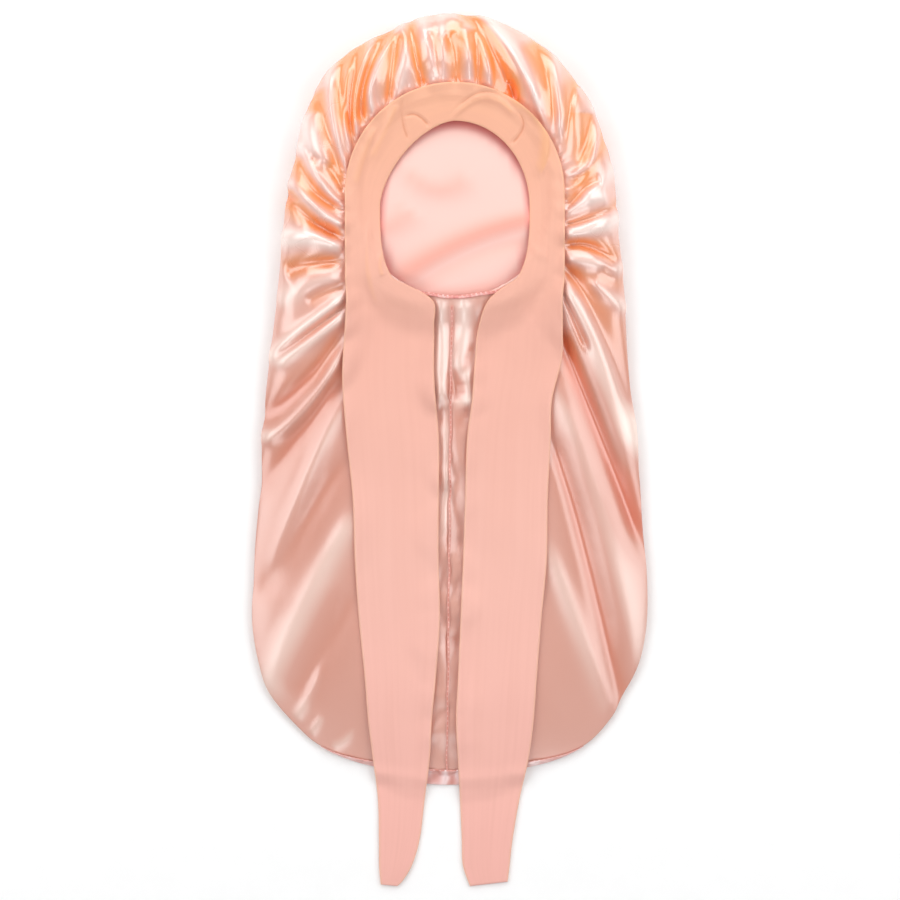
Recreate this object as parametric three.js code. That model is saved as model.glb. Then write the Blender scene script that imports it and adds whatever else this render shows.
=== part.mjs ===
// A long satin bonnet for braids, lying on its back with the head opening up.
// A hollow satin bag is gathered into a matte stretch band round the opening,
// and the band's two long ties lie down the front, past the hem of the bag.
// Millimetres. X runs across the bag, Y from the hem to the crown, Z up from the surface.
// Left and right are those of someone who looks down at the opening.
import * as THREE from "three";

// The satin bag
const BAG_WIDTH = 360;
const SATIN_LENGTH = 690; // crown to the stitch line of the hem
const CROWN_LOFT = 46; // height of the puffed crown over the surface
const BAG_LOFT = 17; // height of the front over the surface, half way down the bag
const EDGE_LIFT = 20; // height at which the crown's outline turns under
const SATIN_WALL = 1.5;
const FOLD_HEIGHT = 6.5;
const GATHER_RISE = 16; // how far from the rim a gather has risen to its full height
const CREST_RISE = 34; // how far from the rim the front reaches its own height

// The seam ring, where the satin is gathered under the band
const CROWN_DEPTH = 63; // satin that shows above the band
const RING_WIDTH = 200;
const RING_HEIGHT = 202;
const RING_OFFSET = 5; // the ring lies a little right of the bag's middle
const RIM_TUCK = 7; // how far the satin's rim goes under the band
const RIM_CROWN_HEIGHT = 36;
const RIM_NAPE_HEIGHT = 25;

// The band and the ties
const BAND_WIDTH = 35; // over the crown
const BAND_SIDE_WIDTH = 32;
const NAPE_SHOW = 4; // rim that shows between the opening and the ring's foot
const BAND_THICKNESS = 2.6; // two layers of stretch cloth
const BAND_FALL = 0.28; // slope of the band towards the opening
const TIE_THICKNESS = 2.4;
const TIE_LENGTH = 554; // from the band's corner to the tip
const TIE_WIDTH = 84;

// The small sewn pieces
const CASING_WIDTH = 9;
const CASING_THICKNESS = 2.6;
const SEAM_WIDTH = 5;
const SEAM_THICKNESS = 1.2;
const SEAM_LEAN = 2.3; // the seam starts this far right of the middle and ends as far left
const HEM_DEPTH = 13;
const HEM_THICKNESS = 3.2;
const SEWN_GAP = 0.4; // clearance that stands for a sewn or resting contact
const DRAPE_REACH = 12; // how far the band and the ties bridge over what they lie on
const TRIM_REACH = 6; // the same for the narrow sewn pieces

// One row for each line of the front, from the crown's middle round to the hem's middle.
// turn: degrees round the seam ring. down: share of the satin's length. left, right: shares
// of the bag's half width. edge: share of EDGE_LIFT. loft: 1 at the crown's height, 0 at the
// bag's. roll: how far in from the outline the front bends down, as a share of the half width.
const LINES = [
  { turn: 0, down: 0.0, left: -0.03, right: 0.03, edge: 1.0, loft: 1.0, roll: 0.22 },
  { turn: 10, down: 0.003, left: 0.1, right: 0.145, edge: 1.0, loft: 1.0, roll: 0.22 },
  { turn: 20, down: 0.013, left: 0.22, right: 0.27, edge: 1.0, loft: 1.0, roll: 0.22 },
  { turn: 30, down: 0.029, left: 0.36, right: 0.39, edge: 1.0, loft: 1.0, roll: 0.22 },
  { turn: 40, down: 0.052, left: 0.515, right: 0.515, edge: 1.0, loft: 1.0, roll: 0.22 },
  { turn: 50, down: 0.081, left: 0.63, right: 0.615, edge: 0.97, loft: 0.98, roll: 0.22 },
  { turn: 60, down: 0.111, left: 0.695, right: 0.7, edge: 0.94, loft: 0.94, roll: 0.21 },
  { turn: 70, down: 0.147, left: 0.745, right: 0.757, edge: 0.9, loft: 0.88, roll: 0.2 },
  { turn: 80, down: 0.19, left: 0.78, right: 0.812, edge: 0.84, loft: 0.8, roll: 0.19 },
  { turn: 90, down: 0.235, left: 0.822, right: 0.84, edge: 0.78, loft: 0.7, roll: 0.18 },
  { turn: 97, down: 0.292, left: 0.843, right: 0.855, edge: 0.7, loft: 0.58, roll: 0.18 },
  { turn: 104, down: 0.365, left: 0.868, right: 0.884, edge: 0.61, loft: 0.45, roll: 0.19 },
  { turn: 110, down: 0.444, left: 0.904, right: 0.9, edge: 0.53, loft: 0.34, roll: 0.2 },
  { turn: 116, down: 0.536, left: 0.942, right: 0.936, edge: 0.46, loft: 0.24, roll: 0.22 },
  { turn: 121, down: 0.629, left: 0.96, right: 0.967, edge: 0.4, loft: 0.15, roll: 0.24 },
  { turn: 126, down: 0.721, left: 0.988, right: 0.998, edge: 0.34, loft: 0.08, roll: 0.26 },
  { turn: 131, down: 0.814, left: 0.995, right: 0.99, edge: 0.28, loft: 0.02, roll: 0.3 },
  { turn: 137, down: 0.893, left: 0.914, right: 0.9, edge: 0.22, loft: -0.03, roll: 0.38 },
  { turn: 145, down: 0.948, left: 0.745, right: 0.765, edge: 0.17, loft: -0.06, roll: 0.48 },
  { turn: 157, down: 0.976, left: 0.58, right: 0.61, edge: 0.15, loft: -0.08, roll: 0.56 },
  { turn: 168, down: 0.991, left: 0.32, right: 0.35, edge: 0.15, loft: -0.08, roll: 0.6 },
  { turn: 180, down: 1.0, left: 0.01, right: -0.01, edge: 0.15, loft: -0.08, roll: 0.6 },
];

// The main gathers and drag folds. line: place among LINES. height: share of FOLD_HEIGHT,
// negative for a valley. width: share of the spacing of two lines. fade: how far along its
// line the fold runs, as a share of the way from the rim to the outline.
const RIGHT_FOLDS = [
  { line: 0.7, height: 0.8, width: 0.45, fade: 0.9 },
  { line: 1.9, height: 0.9, width: 0.4, fade: 1.0 },
  { line: 3.3, height: -0.9, width: 0.6, fade: 1.1 },
  { line: 4.4, height: 0.7, width: 0.5, fade: 1.0 },
  { line: 5.7, height: 0.8, width: 0.45, fade: 1.2 },
  { line: 7.0, height: 0.8, width: 0.45, fade: 1.1 },
  { line: 8.3, height: 0.7, width: 0.45, fade: 1.0 },
  { line: 9.4, height: 0.9, width: 0.4, fade: 1.4 },
  { line: 10.9, height: -0.7, width: 0.5, fade: 1.1 },
  { line: 11.9, height: 0.8, width: 0.5, fade: 1.1 },
  { line: 13.0, height: -0.7, width: 0.5, fade: 1.0 },
  { line: 14.0, height: 0.8, width: 0.5, fade: 1.1 },
  { line: 14.9, height: -0.6, width: 0.5, fade: 0.9 },
  { line: 15.7, height: 0.8, width: 0.5, fade: 1.0 },
  { line: 16.7, height: -0.6, width: 0.5, fade: 0.95 },
  { line: 17.6, height: 0.4, width: 0.5, fade: 0.9 },
];
const LEFT_FOLDS = [
  { line: 0.6, height: 0.7, width: 0.4, fade: 1.0 },
  { line: 1.6, height: -0.6, width: 0.45, fade: 1.0 },
  { line: 2.4, height: 0.8, width: 0.4, fade: 0.9 },
  { line: 3.4, height: -0.9, width: 0.45, fade: 1.0 },
  { line: 4.3, height: 0.7, width: 0.4, fade: 1.1 },
  { line: 5.5, height: 0.7, width: 0.4, fade: 1.1 },
  { line: 6.6, height: -0.7, width: 0.45, fade: 1.0 },
  { line: 7.6, height: 0.9, width: 0.45, fade: 1.2 },
  { line: 9.1, height: 1.0, width: 0.4, fade: 1.4 },
  { line: 10.1, height: -0.5, width: 0.4, fade: 1.0 },
  { line: 10.9, height: 0.7, width: 0.5, fade: 1.2 },
  { line: 12.2, height: 1.0, width: 0.4, fade: 1.4 },
  { line: 13.1, height: -0.5, width: 0.4, fade: 1.0 },
  { line: 14.0, height: 0.9, width: 0.5, fade: 1.2 },
  { line: 15.0, height: -0.6, width: 0.5, fade: 1.0 },
  { line: 15.8, height: 0.6, width: 0.5, fade: 1.0 },
  { line: 17.0, height: 0.6, width: 0.5, fade: 1.0 },
];

// The ties, from just below the band's corner to the tip. down: share of TIE_LENGTH.
// middle: distance from the ring's middle, as a share of half the ring's width.
// width: share of TIE_WIDTH.
const LEFT_TIE = [
  { down: 0.034, middle: 0.6, width: 0.93 },
  { down: 0.08, middle: 0.595, width: 0.97 },
  { down: 0.166, middle: 0.606, width: 1.0 },
  { down: 0.264, middle: 0.565, width: 1.0 },
  { down: 0.363, middle: 0.538, width: 0.935 },
  { down: 0.462, middle: 0.529, width: 0.91 },
  { down: 0.56, middle: 0.505, width: 0.88 },
  { down: 0.659, middle: 0.497, width: 0.77 },
  { down: 0.725, middle: 0.5, width: 0.695 },
  { down: 0.79, middle: 0.488, width: 0.62 },
  { down: 0.856, middle: 0.488, width: 0.51 },
  { down: 0.922, middle: 0.506, width: 0.445 },
  { down: 0.965, middle: 0.54, width: 0.36 },
  { down: 0.99, middle: 0.575, width: 0.25 },
  { down: 1.0, middle: 0.6, width: 0.18 },
];
const RIGHT_TIE = [
  { down: 0.034, middle: 0.647, width: 0.8 },
  { down: 0.083, middle: 0.597, width: 0.92 },
  { down: 0.133, middle: 0.579, width: 0.945 },
  { down: 0.2, middle: 0.52, width: 0.87 },
  { down: 0.264, middle: 0.492, width: 0.91 },
  { down: 0.363, middle: 0.47, width: 0.9 },
  { down: 0.462, middle: 0.456, width: 0.91 },
  { down: 0.56, middle: 0.42, width: 0.88 },
  { down: 0.659, middle: 0.387, width: 0.857 },
  { down: 0.725, middle: 0.365, width: 0.846 },
  { down: 0.79, middle: 0.35, width: 0.77 },
  { down: 0.856, middle: 0.319, width: 0.65 },
  { down: 0.922, middle: 0.296, width: 0.554 },
  { down: 0.965, middle: 0.287, width: 0.51 },
  { down: 1.0, middle: 0.31, width: 0.41 },
];

// Steps of the meshes
const SPOKES_PER_LINE = 3;
const RING_SHARES = [0, 0.05, 0.12, 0.22, 0.36, 0.52, 0.68, 0.82, 0.92, 0.98, 1];
const UNDER_ANGLES = [30, 60, 90];
const UNDER_ROLL = 2; // the underside bends up over this many edge heights
const CAP_COLUMNS = 4;
const BAND_STEPS = 48;
const BAND_COLUMNS = 6;
const TIE_STEPS = 34;
const TIE_COLUMNS = 5;
const CASING_STEPS = 20;
const SEAM_STEPS = 40;
const HEM_STEPS = 30;
const NARROW_COLUMNS = 2;

const RAD = Math.PI / 180;
const mix = (a, b, share) => a + (b - a) * share;
const clamp01 = (value) => Math.min(1, Math.max(0, value));
const smooth = (value) => {
  const share = clamp01(value);
  return share * share * (3 - 2 * share);
};

// A smooth curve through a column of a table. place counts rows; closed tables wrap round.
function along(values, place, closed) {
  const count = values.length;
  const row = closed ? Math.floor(place) : Math.min(Math.floor(place), count - 2);
  const share = place - row;
  const pick = (index) => (closed ? values[((index % count) + count) % count]
    : values[Math.min(count - 1, Math.max(0, index))]);
  const [a, b, c, d] = [pick(row - 1), pick(row), pick(row + 1), pick(row + 2)];
  return b + 0.5 * share * (c - a + share * (2 * a - 5 * b + 4 * c - d + share * (3 * (b - c) + d - a)));
}

// The seam ring

const ringCentre = new THREE.Vector2(RING_OFFSET, -(CROWN_DEPTH + RING_HEIGHT / 2));

function ringPoint(turn, inset) {
  return new THREE.Vector2(
    ringCentre.x + (RING_WIDTH / 2 - inset) * Math.sin(turn),
    ringCentre.y + (RING_HEIGHT / 2 - inset) * Math.cos(turn),
  );
}

const rimHeight = (turn) => mix(RIM_NAPE_HEIGHT, RIM_CROWN_HEIGHT, (1 + Math.cos(turn)) / 2);

// The satin bag: closed list of lines, down the right side and back up the left

const lineOf = (row, side) => ({
  rim: ringPoint(side * row.turn * RAD, RIM_TUCK),
  rimZ: rimHeight(row.turn * RAD),
  edge: new THREE.Vector2(
    ((side > 0 ? row.right : -row.left) * BAG_WIDTH) / 2,
    -row.down * SATIN_LENGTH,
  ),
  edgeZ: row.edge * EDGE_LIFT,
  topZ: mix(BAG_LOFT, CROWN_LOFT, row.loft),
  roll: (row.roll * BAG_WIDTH) / 2,
});
const lines = [
  ...LINES.map((row) => lineOf(row, 1)),
  ...LINES.slice(1, -1).reverse().map((row) => lineOf(row, -1)),
];
const folds = [
  ...RIGHT_FOLDS,
  ...LEFT_FOLDS.map((fold) => ({ ...fold, line: lines.length - fold.line })),
];
const spokeCount = lines.length * SPOKES_PER_LINE;

const columns = {
  rimX: lines.map((line) => line.rim.x),
  rimY: lines.map((line) => line.rim.y),
  rimZ: lines.map((line) => line.rimZ),
  edgeX: lines.map((line) => line.edge.x),
  edgeY: lines.map((line) => line.edge.y),
  edgeZ: lines.map((line) => line.edgeZ),
  topZ: lines.map((line) => line.topZ),
  roll: lines.map((line) => line.roll),
};
const read = (name, place) => along(columns[name], place, true);

const outline = Array.from({ length: spokeCount }, (_, spoke) => {
  const place = spoke / SPOKES_PER_LINE;
  return new THREE.Vector2(read("edgeX", place), read("edgeY", place));
});

function outwardAt(spoke) {
  const before = outline[(spoke + spokeCount - 1) % spokeCount];
  const after = outline[(spoke + 1) % spokeCount];
  return new THREE.Vector2(before.y - after.y, after.x - before.x).normalize();
}

function distanceToOutline(point) {
  let nearest = Infinity;
  outline.forEach((start, index) => {
    const way = outline[(index + 1) % spokeCount].clone().sub(start);
    const share = clamp01(point.clone().sub(start).dot(way) / way.lengthSq());
    nearest = Math.min(nearest, start.clone().addScaledVector(way, share).distanceTo(point));
  });
  return nearest;
}

// The height that the folds add at a place along the lines, share of the way to the outline.
function foldHeight(place, share, fromRim) {
  let sum = 0;
  for (const fold of folds) {
    const around = Math.abs(place - fold.line);
    const apart = Math.min(around, lines.length - around) / fold.width;
    const reach = 1 - smooth((share - fold.fade + 0.4) / 0.4);
    sum += fold.height * reach * Math.exp(-apart * apart);
  }
  return FOLD_HEIGHT * sum * smooth(fromRim / GATHER_RISE);
}

const bend = (share) => Math.sqrt(1 - (1 - clamp01(share)) ** 2);

// A point of the front layer. inset is 0 on the outer face and the wall on the inner one.
function frontPoint(spoke, share, inset) {
  const place = spoke / SPOKES_PER_LINE;
  const rim = new THREE.Vector2(read("rimX", place), read("rimY", place));
  const outward = outwardAt(spoke);
  const edge = outline[spoke].clone().addScaledVector(outward, -inset);
  const flat = rim.clone().lerp(edge, share);
  const fromRim = rim.distanceTo(flat);
  const fromEdge = share === 1 ? 0 : Math.max(0, distanceToOutline(flat) - inset);
  const inside = bend(fromEdge / read("roll", place));
  const top = mix(read("rimZ", place), read("topZ", place), smooth(fromRim / CREST_RISE)) - inset;
  const lift = foldHeight(place, share, fromRim);
  const edgeZ = read("edgeZ", place);
  flat.addScaledVector(outward, lift * (1 - inside));
  return new THREE.Vector3(flat.x, flat.y, mix(edgeZ, top, inside) + lift * inside);
}

// A point where the bag turns under, at an angle of 0 on the outline and 90 on the surface.
function underPoint(spoke, angle, inset) {
  const place = spoke / SPOKES_PER_LINE;
  const edgeZ = read("edgeZ", place);
  const outward = outwardAt(spoke);
  const inwards = UNDER_ROLL * edgeZ * (1 - Math.cos(angle * RAD));
  const lift = foldHeight(place, 1, outline[spoke].distanceTo(ringCentre)) * (1 - Math.sin(angle * RAD));
  const flat = outline[spoke].clone().addScaledVector(outward, lift - inset - inwards);
  return new THREE.Vector3(flat.x, flat.y, edgeZ - (edgeZ - inset) * Math.sin(angle * RAD));
}

function satinRings(inset) {
  const spokes = Array.from({ length: spokeCount }, (_, spoke) => spoke);
  const front = RING_SHARES.map((share) => spokes.map((spoke) => frontPoint(spoke, share, inset)));
  const under = UNDER_ANGLES.map((angle) => spokes.map((spoke) => underPoint(spoke, angle, inset)));
  return [...front, ...under];
}

// Meshes

// Collects points and faces, and gives a geometry whose faces point out.
class Skin {
  constructor() {
    this.points = [];
    this.faces = [];
  }

  add(point) {
    this.points.push(point);
    return this.points.length - 1;
  }

  quad(a, b, c, d) {
    for (const face of [[a, b, c], [a, c, d]]) {
      if (new Set(face).size === 3) this.faces.push(face);
    }
  }

  volume() {
    const cross = new THREE.Vector3();
    return this.faces.reduce((sum, [a, b, c]) => sum
      + cross.crossVectors(this.points[b], this.points[c]).dot(this.points[a]), 0);
  }

  geometry() {
    const outwards = this.volume() > 0;
    const order = this.faces.flatMap(([a, b, c]) => (outwards ? [a, b, c] : [a, c, b]));
    const built = new THREE.BufferGeometry().setFromPoints(this.points);
    built.setIndex(order);
    built.computeVertexNormals();
    return built;
  }
}

// One layer of the bag: rings of points from the rim to the underside, and the flat back
// between the last ring's left and right halves.
function addLayer(skin, rings, turned) {
  const quad = (a, b, c, d) => (turned ? skin.quad(a, d, c, b) : skin.quad(a, b, c, d));
  const index = rings.map((ring) => ring.map((point) => skin.add(point)));
  for (let ring = 0; ring + 1 < rings.length; ring += 1) {
    for (let spoke = 0; spoke < spokeCount; spoke += 1) {
      const next = (spoke + 1) % spokeCount;
      quad(index[ring][spoke], index[ring][next], index[ring + 1][next], index[ring + 1][spoke]);
    }
  }
  const last = rings[rings.length - 1];
  const lastIndex = index[rings.length - 1];
  const half = spokeCount / 2;
  const rungs = [];
  for (let spoke = 0; spoke <= half; spoke += 1) {
    const other = (spokeCount - spoke) % spokeCount;
    const rung = [lastIndex[spoke]];
    for (let column = 1; column < CAP_COLUMNS && other !== spoke; column += 1) {
      rung.push(skin.add(last[spoke].clone().lerp(last[other], column / CAP_COLUMNS)));
    }
    rung.push(lastIndex[other]);
    rungs.push(other === spoke ? Array(CAP_COLUMNS + 1).fill(lastIndex[spoke]) : rung);
  }
  for (let spoke = 0; spoke < half; spoke += 1) {
    for (let column = 0; column < CAP_COLUMNS; column += 1) {
      quad(rungs[spoke][column], rungs[spoke + 1][column], rungs[spoke + 1][column + 1], rungs[spoke][column + 1]);
    }
  }
  return index[0];
}

function satinBag() {
  const skin = new Skin();
  const outer = addLayer(skin, satinRings(0), false);
  const inner = addLayer(skin, satinRings(SATIN_WALL), true);
  for (let spoke = 0; spoke < spokeCount; spoke += 1) {
    const next = (spoke + 1) % spokeCount;
    skin.quad(outer[next], outer[spoke], inner[spoke], inner[next]);
  }
  return skin.geometry();
}

// Heights that a piece can rest on: the highest point of what lies in each small square.
const CELL = 3;
const heights = new Map();
const cellOf = (value) => Math.round(value / CELL);

function restOn(geometry) {
  const position = geometry.getAttribute("position");
  const order = geometry.getIndex().array;
  const corners = [0, 1, 2].map(() => new THREE.Vector3());
  for (let face = 0; face < order.length; face += 3) {
    corners.forEach((corner, index) => corner.fromBufferAttribute(position, order[face + index]));
    const [a, b, c] = corners;
    const sides = [b.clone().sub(a), c.clone().sub(a)];
    const count = Math.ceil(Math.max(sides[0].length(), sides[1].length(), b.distanceTo(c)) / CELL) + 1;
    for (let i = 0; i <= count; i += 1) {
      for (let j = 0; j <= count - i; j += 1) {
        const point = a.clone().addScaledVector(sides[0], i / count).addScaledVector(sides[1], j / count);
        const key = `${cellOf(point.x)},${cellOf(point.y)}`;
        heights.set(key, Math.max(heights.get(key) ?? 0, point.z));
      }
    }
  }
}

// The height of the highest thing within reach of a point. Inside the seam ring there is only
// the hollow, so the height falls away from the rim there.
function highestNear(x, y, reach) {
  const away = new THREE.Vector2(x, y).sub(ringCentre);
  const turn = Math.atan2(away.x, away.y);
  const inside = ringPoint(turn, 0).sub(ringCentre).length() - away.length();
  const cells = Math.ceil(reach / CELL);
  let highest = inside > 0 ? rimHeight(turn) - BAND_FALL * inside : 0;
  for (let i = -cells; i <= cells; i += 1) {
    for (let j = -cells; j <= cells; j += 1) {
      if (Math.hypot(i, j) > cells) continue;
      highest = Math.max(highest, heights.get(`${cellOf(x) + i},${cellOf(y) + j}`) ?? 0);
    }
  }
  return highest;
}

// Cloth bridges the dips under it: the mean, over half the reach, of the highest near it.
const BLUR_POINTS = 12;
const GOLDEN_ANGLE = Math.PI * (3 - Math.sqrt(5));
const BLUR = Array.from({ length: BLUR_POINTS }, (_, index) => ({
  turn: index * GOLDEN_ANGLE,
  share: Math.sqrt((index + 0.5) / BLUR_POINTS) / 2,
}));

function laid(reach) {
  return (point) => {
    const sum = BLUR.reduce((total, { turn, share }) => total + highestNear(
      point.x + share * reach * Math.cos(turn),
      point.y + share * reach * Math.sin(turn),
      reach,
    ), 0);
    return sum / BLUR.length + SEWN_GAP;
  };
}

// A flat strip of cloth between two edges, laid on what is under it. stations hold the two
// edge points of each cross line; under gives the height of a point's underside.
function strip(stations, columnCount, thickness, under) {
  const skin = new Skin();
  const bottom = [];
  const top = [];
  stations.forEach(([start, end]) => {
    const low = [];
    const high = [];
    for (let column = 0; column <= columnCount; column += 1) {
      const across = column / columnCount;
      const flat = start.clone().lerp(end, across);
      const z = under(flat);
      const rounding = Math.sqrt(1 - Math.abs(2 * across - 1) ** 3);
      low.push(skin.add(new THREE.Vector3(flat.x, flat.y, z)));
      high.push(skin.add(new THREE.Vector3(flat.x, flat.y, z + thickness * mix(0.5, 1, rounding))));
    }
    bottom.push(low);
    top.push(high);
  });
  const last = stations.length - 1;
  for (let row = 0; row < last; row += 1) {
    for (let column = 0; column < columnCount; column += 1) {
      skin.quad(top[row][column], top[row][column + 1], top[row + 1][column + 1], top[row + 1][column]);
      skin.quad(bottom[row][column], bottom[row + 1][column], bottom[row + 1][column + 1], bottom[row][column + 1]);
    }
    const [near, far] = [0, columnCount];
    skin.quad(top[row][near], top[row + 1][near], bottom[row + 1][near], bottom[row][near]);
    skin.quad(top[row + 1][far], top[row][far], bottom[row][far], bottom[row + 1][far]);
  }
  for (let column = 0; column < columnCount; column += 1) {
    skin.quad(top[0][column + 1], top[0][column], bottom[0][column], bottom[0][column + 1]);
    skin.quad(top[last][column], top[last][column + 1], bottom[last][column + 1], bottom[last][column]);
  }
  return skin.geometry();
}

const steps = (count) => Array.from({ length: count + 1 }, (_, step) => step / count);

// The gathered casing at the nape, over the rim between the two ties
const CASING_TURN = 31;

function napeCasing() {
  const stations = steps(CASING_STEPS).map((share) => {
    const turn = (180 + mix(CASING_TURN, -CASING_TURN, share)) * RAD;
    return [ringPoint(turn, RIM_TUCK + 1), ringPoint(turn, RIM_TUCK + 1 - CASING_WIDTH)];
  });
  return strip(stations, NARROW_COLUMNS, CASING_THICKNESS, laid(TRIM_REACH));
}

// The felled seam down the middle of the front
function centreSeam() {
  const top = ringPoint(Math.PI, RIM_TUCK + 1 - CASING_WIDTH).y - SEWN_GAP;
  const bottom = -SATIN_LENGTH + SEAM_WIDTH / 2;
  const stations = steps(SEAM_STEPS).map((share) => {
    const middle = new THREE.Vector2(mix(SEAM_LEAN, -SEAM_LEAN, share), mix(top, bottom, share));
    return [-0.5, 0.5].map((side) => middle.clone().add(new THREE.Vector2(side * SEAM_WIDTH, 0)));
  });
  return strip(stations, NARROW_COLUMNS, SEAM_THICKNESS, laid(TRIM_REACH));
}

// The folded hem along the bottom, deepest in the middle and running out at its ends
const HEM_LINES = 2.4; // how many lines the hem reaches to each side of the middle

function bottomHem() {
  const middle = (LINES.length - 1) * SPOKES_PER_LINE;
  const stations = steps(HEM_STEPS).map((share) => {
    const place = middle / SPOKES_PER_LINE + mix(-HEM_LINES, HEM_LINES, share);
    const edge = new THREE.Vector2(read("edgeX", place), read("edgeY", place));
    const depth = HEM_DEPTH * mix(0.08, 1, smooth((1 - Math.abs(2 * share - 1)) * 1.6));
    return [SEWN_GAP, depth].map((down) => edge.clone().add(new THREE.Vector2(0, -down)));
  });
  return strip(stations, NARROW_COLUMNS, HEM_THICKNESS, () => 0);
}

// The band round the opening

const openingWidth = RING_WIDTH - 2 * BAND_SIDE_WIDTH;
const openingHeight = RING_HEIGHT - BAND_WIDTH - NAPE_SHOW;
const UPPER_SHARE = 0.475; // of the opening's height, above its widest place
const openingCentre = new THREE.Vector2(RING_OFFSET, -(CROWN_DEPTH + BAND_WIDTH + UPPER_SHARE * openingHeight));
const BAND_END_TURN = 132; // degrees round the opening to the corner where a tie begins
const LOWER_SQUARENESS = 3.1; // 2 is an ellipse

function openingPoint(turn) {
  const upper = Math.cos(turn) >= 0;
  const power = upper ? 1 : 2 / LOWER_SQUARENESS;
  const reach = openingHeight * (upper ? UPPER_SHARE : 1 - UPPER_SHARE);
  return new THREE.Vector2(
    openingCentre.x + ((Math.sign(Math.sin(turn)) * openingWidth) / 2) * Math.abs(Math.sin(turn)) ** power,
    openingCentre.y + Math.sign(Math.cos(turn)) * reach * Math.abs(Math.cos(turn)) ** power,
  );
}

const bandEnd = openingPoint(BAND_END_TURN * RAD);

// The band's outer edge follows the ring over the crown and then runs straight down.
function bandOuterPoint(share) {
  const quarter = (Math.PI / 2) * ((RING_WIDTH + RING_HEIGHT) / 4);
  const straight = ringCentre.y - bandEnd.y;
  const way = Math.abs(share) * (quarter + straight);
  const side = Math.sign(share);
  if (way < quarter) return ringPoint((side * way * Math.PI) / 2 / quarter, 0);
  return new THREE.Vector2(ringCentre.x + (side * RING_WIDTH) / 2, ringCentre.y - (way - quarter));
}

function headBand() {
  const stations = steps(BAND_STEPS).map((step) => {
    const share = mix(-1, 1, step);
    return [bandOuterPoint(share), openingPoint(share * BAND_END_TURN * RAD)];
  });
  return strip(stations, BAND_COLUMNS, BAND_THICKNESS, laid(DRAPE_REACH));
}

// A tie, from the band's corner down over the bag and past its hem to the surface
function tie(rows, side) {
  const reach = RING_WIDTH / 2;
  const corner = bandEnd.x - ringCentre.x;
  const start = { down: 0, middle: (reach + corner) / 2 / reach, width: (reach - corner) / TIE_WIDTH };
  const table = [start, ...rows];
  const [downs, middles, widths] = ["down", "middle", "width"].map((name) => table.map((row) => row[name]));
  const stations = steps(TIE_STEPS).map((share) => {
    const place = share * (table.length - 1);
    const y = bandEnd.y - SEWN_GAP - along(downs, place, false) * TIE_LENGTH;
    const middle = along(middles, place, false) * reach;
    const half = (along(widths, place, false) * TIE_WIDTH) / 2;
    return [middle + half, middle - half].map((from) => new THREE.Vector2(ringCentre.x + side * from, y));
  });
  return strip(stations, TIE_COLUMNS, TIE_THICKNESS, laid(DRAPE_REACH));
}

// The assembly

const satin = new THREE.MeshStandardMaterial({ color: 0xf3b8a4, roughness: 0.32, metalness: 0.1 });
const matte = new THREE.MeshStandardMaterial({ color: 0xf5bda6, roughness: 0.85, metalness: 0 });

const bonnet = new THREE.Group();

function piece(name, geometry, material) {
  const mesh = new THREE.Mesh(geometry, material);
  mesh.name = name;
  bonnet.add(mesh);
  restOn(geometry);
}

piece("satin_bag", satinBag(), satin);
piece("nape_casing", napeCasing(), satin);
piece("centre_seam", centreSeam(), satin);
piece("bottom_hem", bottomHem(), satin);
piece("head_band", headBand(), matte);
piece("tie_left", tie(LEFT_TIE, -1), matte);
piece("tie_right", tie(RIGHT_TIE, 1), matte);

// The origin is the middle of the whole bonnet, on the surface it lies on.
const box = new THREE.Box3().setFromObject(bonnet);
const centre = box.getCenter(new THREE.Vector3());
bonnet.position.set(-centre.x, -centre.y, -box.min.z);

export default bonnet;
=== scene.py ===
# %% [markdown]
# # A satin bonnet for braids, laid out flat
#
# The object is a long bag of glossy satin. Its head opening is gathered into a matte stretch band,
# and the band runs on as two long flat ties that lie down the front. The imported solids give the
# place of everything. This script replaces each soft solid by cloth with finer folds, and gives
# every piece its finish.

# %% Load the solids
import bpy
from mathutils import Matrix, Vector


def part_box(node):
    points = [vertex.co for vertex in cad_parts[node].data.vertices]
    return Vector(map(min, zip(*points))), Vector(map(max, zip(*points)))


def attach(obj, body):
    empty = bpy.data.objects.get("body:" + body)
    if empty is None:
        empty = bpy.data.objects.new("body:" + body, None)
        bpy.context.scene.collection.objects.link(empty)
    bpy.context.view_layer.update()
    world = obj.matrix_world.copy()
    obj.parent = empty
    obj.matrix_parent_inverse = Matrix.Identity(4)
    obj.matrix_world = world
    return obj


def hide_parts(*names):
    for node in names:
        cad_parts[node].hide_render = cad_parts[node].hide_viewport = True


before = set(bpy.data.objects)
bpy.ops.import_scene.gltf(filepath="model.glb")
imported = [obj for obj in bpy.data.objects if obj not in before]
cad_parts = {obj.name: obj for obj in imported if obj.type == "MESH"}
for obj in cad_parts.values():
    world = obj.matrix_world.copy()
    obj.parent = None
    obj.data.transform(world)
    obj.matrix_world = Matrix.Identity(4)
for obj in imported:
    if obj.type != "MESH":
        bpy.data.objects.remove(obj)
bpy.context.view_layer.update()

# %% Tools
import math

import bmesh
import bpy
import numpy as np
from mathutils import Vector, noise
from mathutils.bvhtree import BVHTree

MM = 0.001
RAD = math.pi / 180

# %% [markdown]
# The driving sizes come from the solids: the bag's box gives its width and length, and the band's
# box gives the ring along which the satin is gathered. The rest are the cloth's own sizes.

# %% Sizes
bag_low, bag_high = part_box("satin_bag")
band_low, band_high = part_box("head_band")
casing_low, casing_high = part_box("nape_casing")
hem_low, hem_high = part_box("bottom_hem")
tie_low, tie_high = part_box("tie_left")

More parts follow.
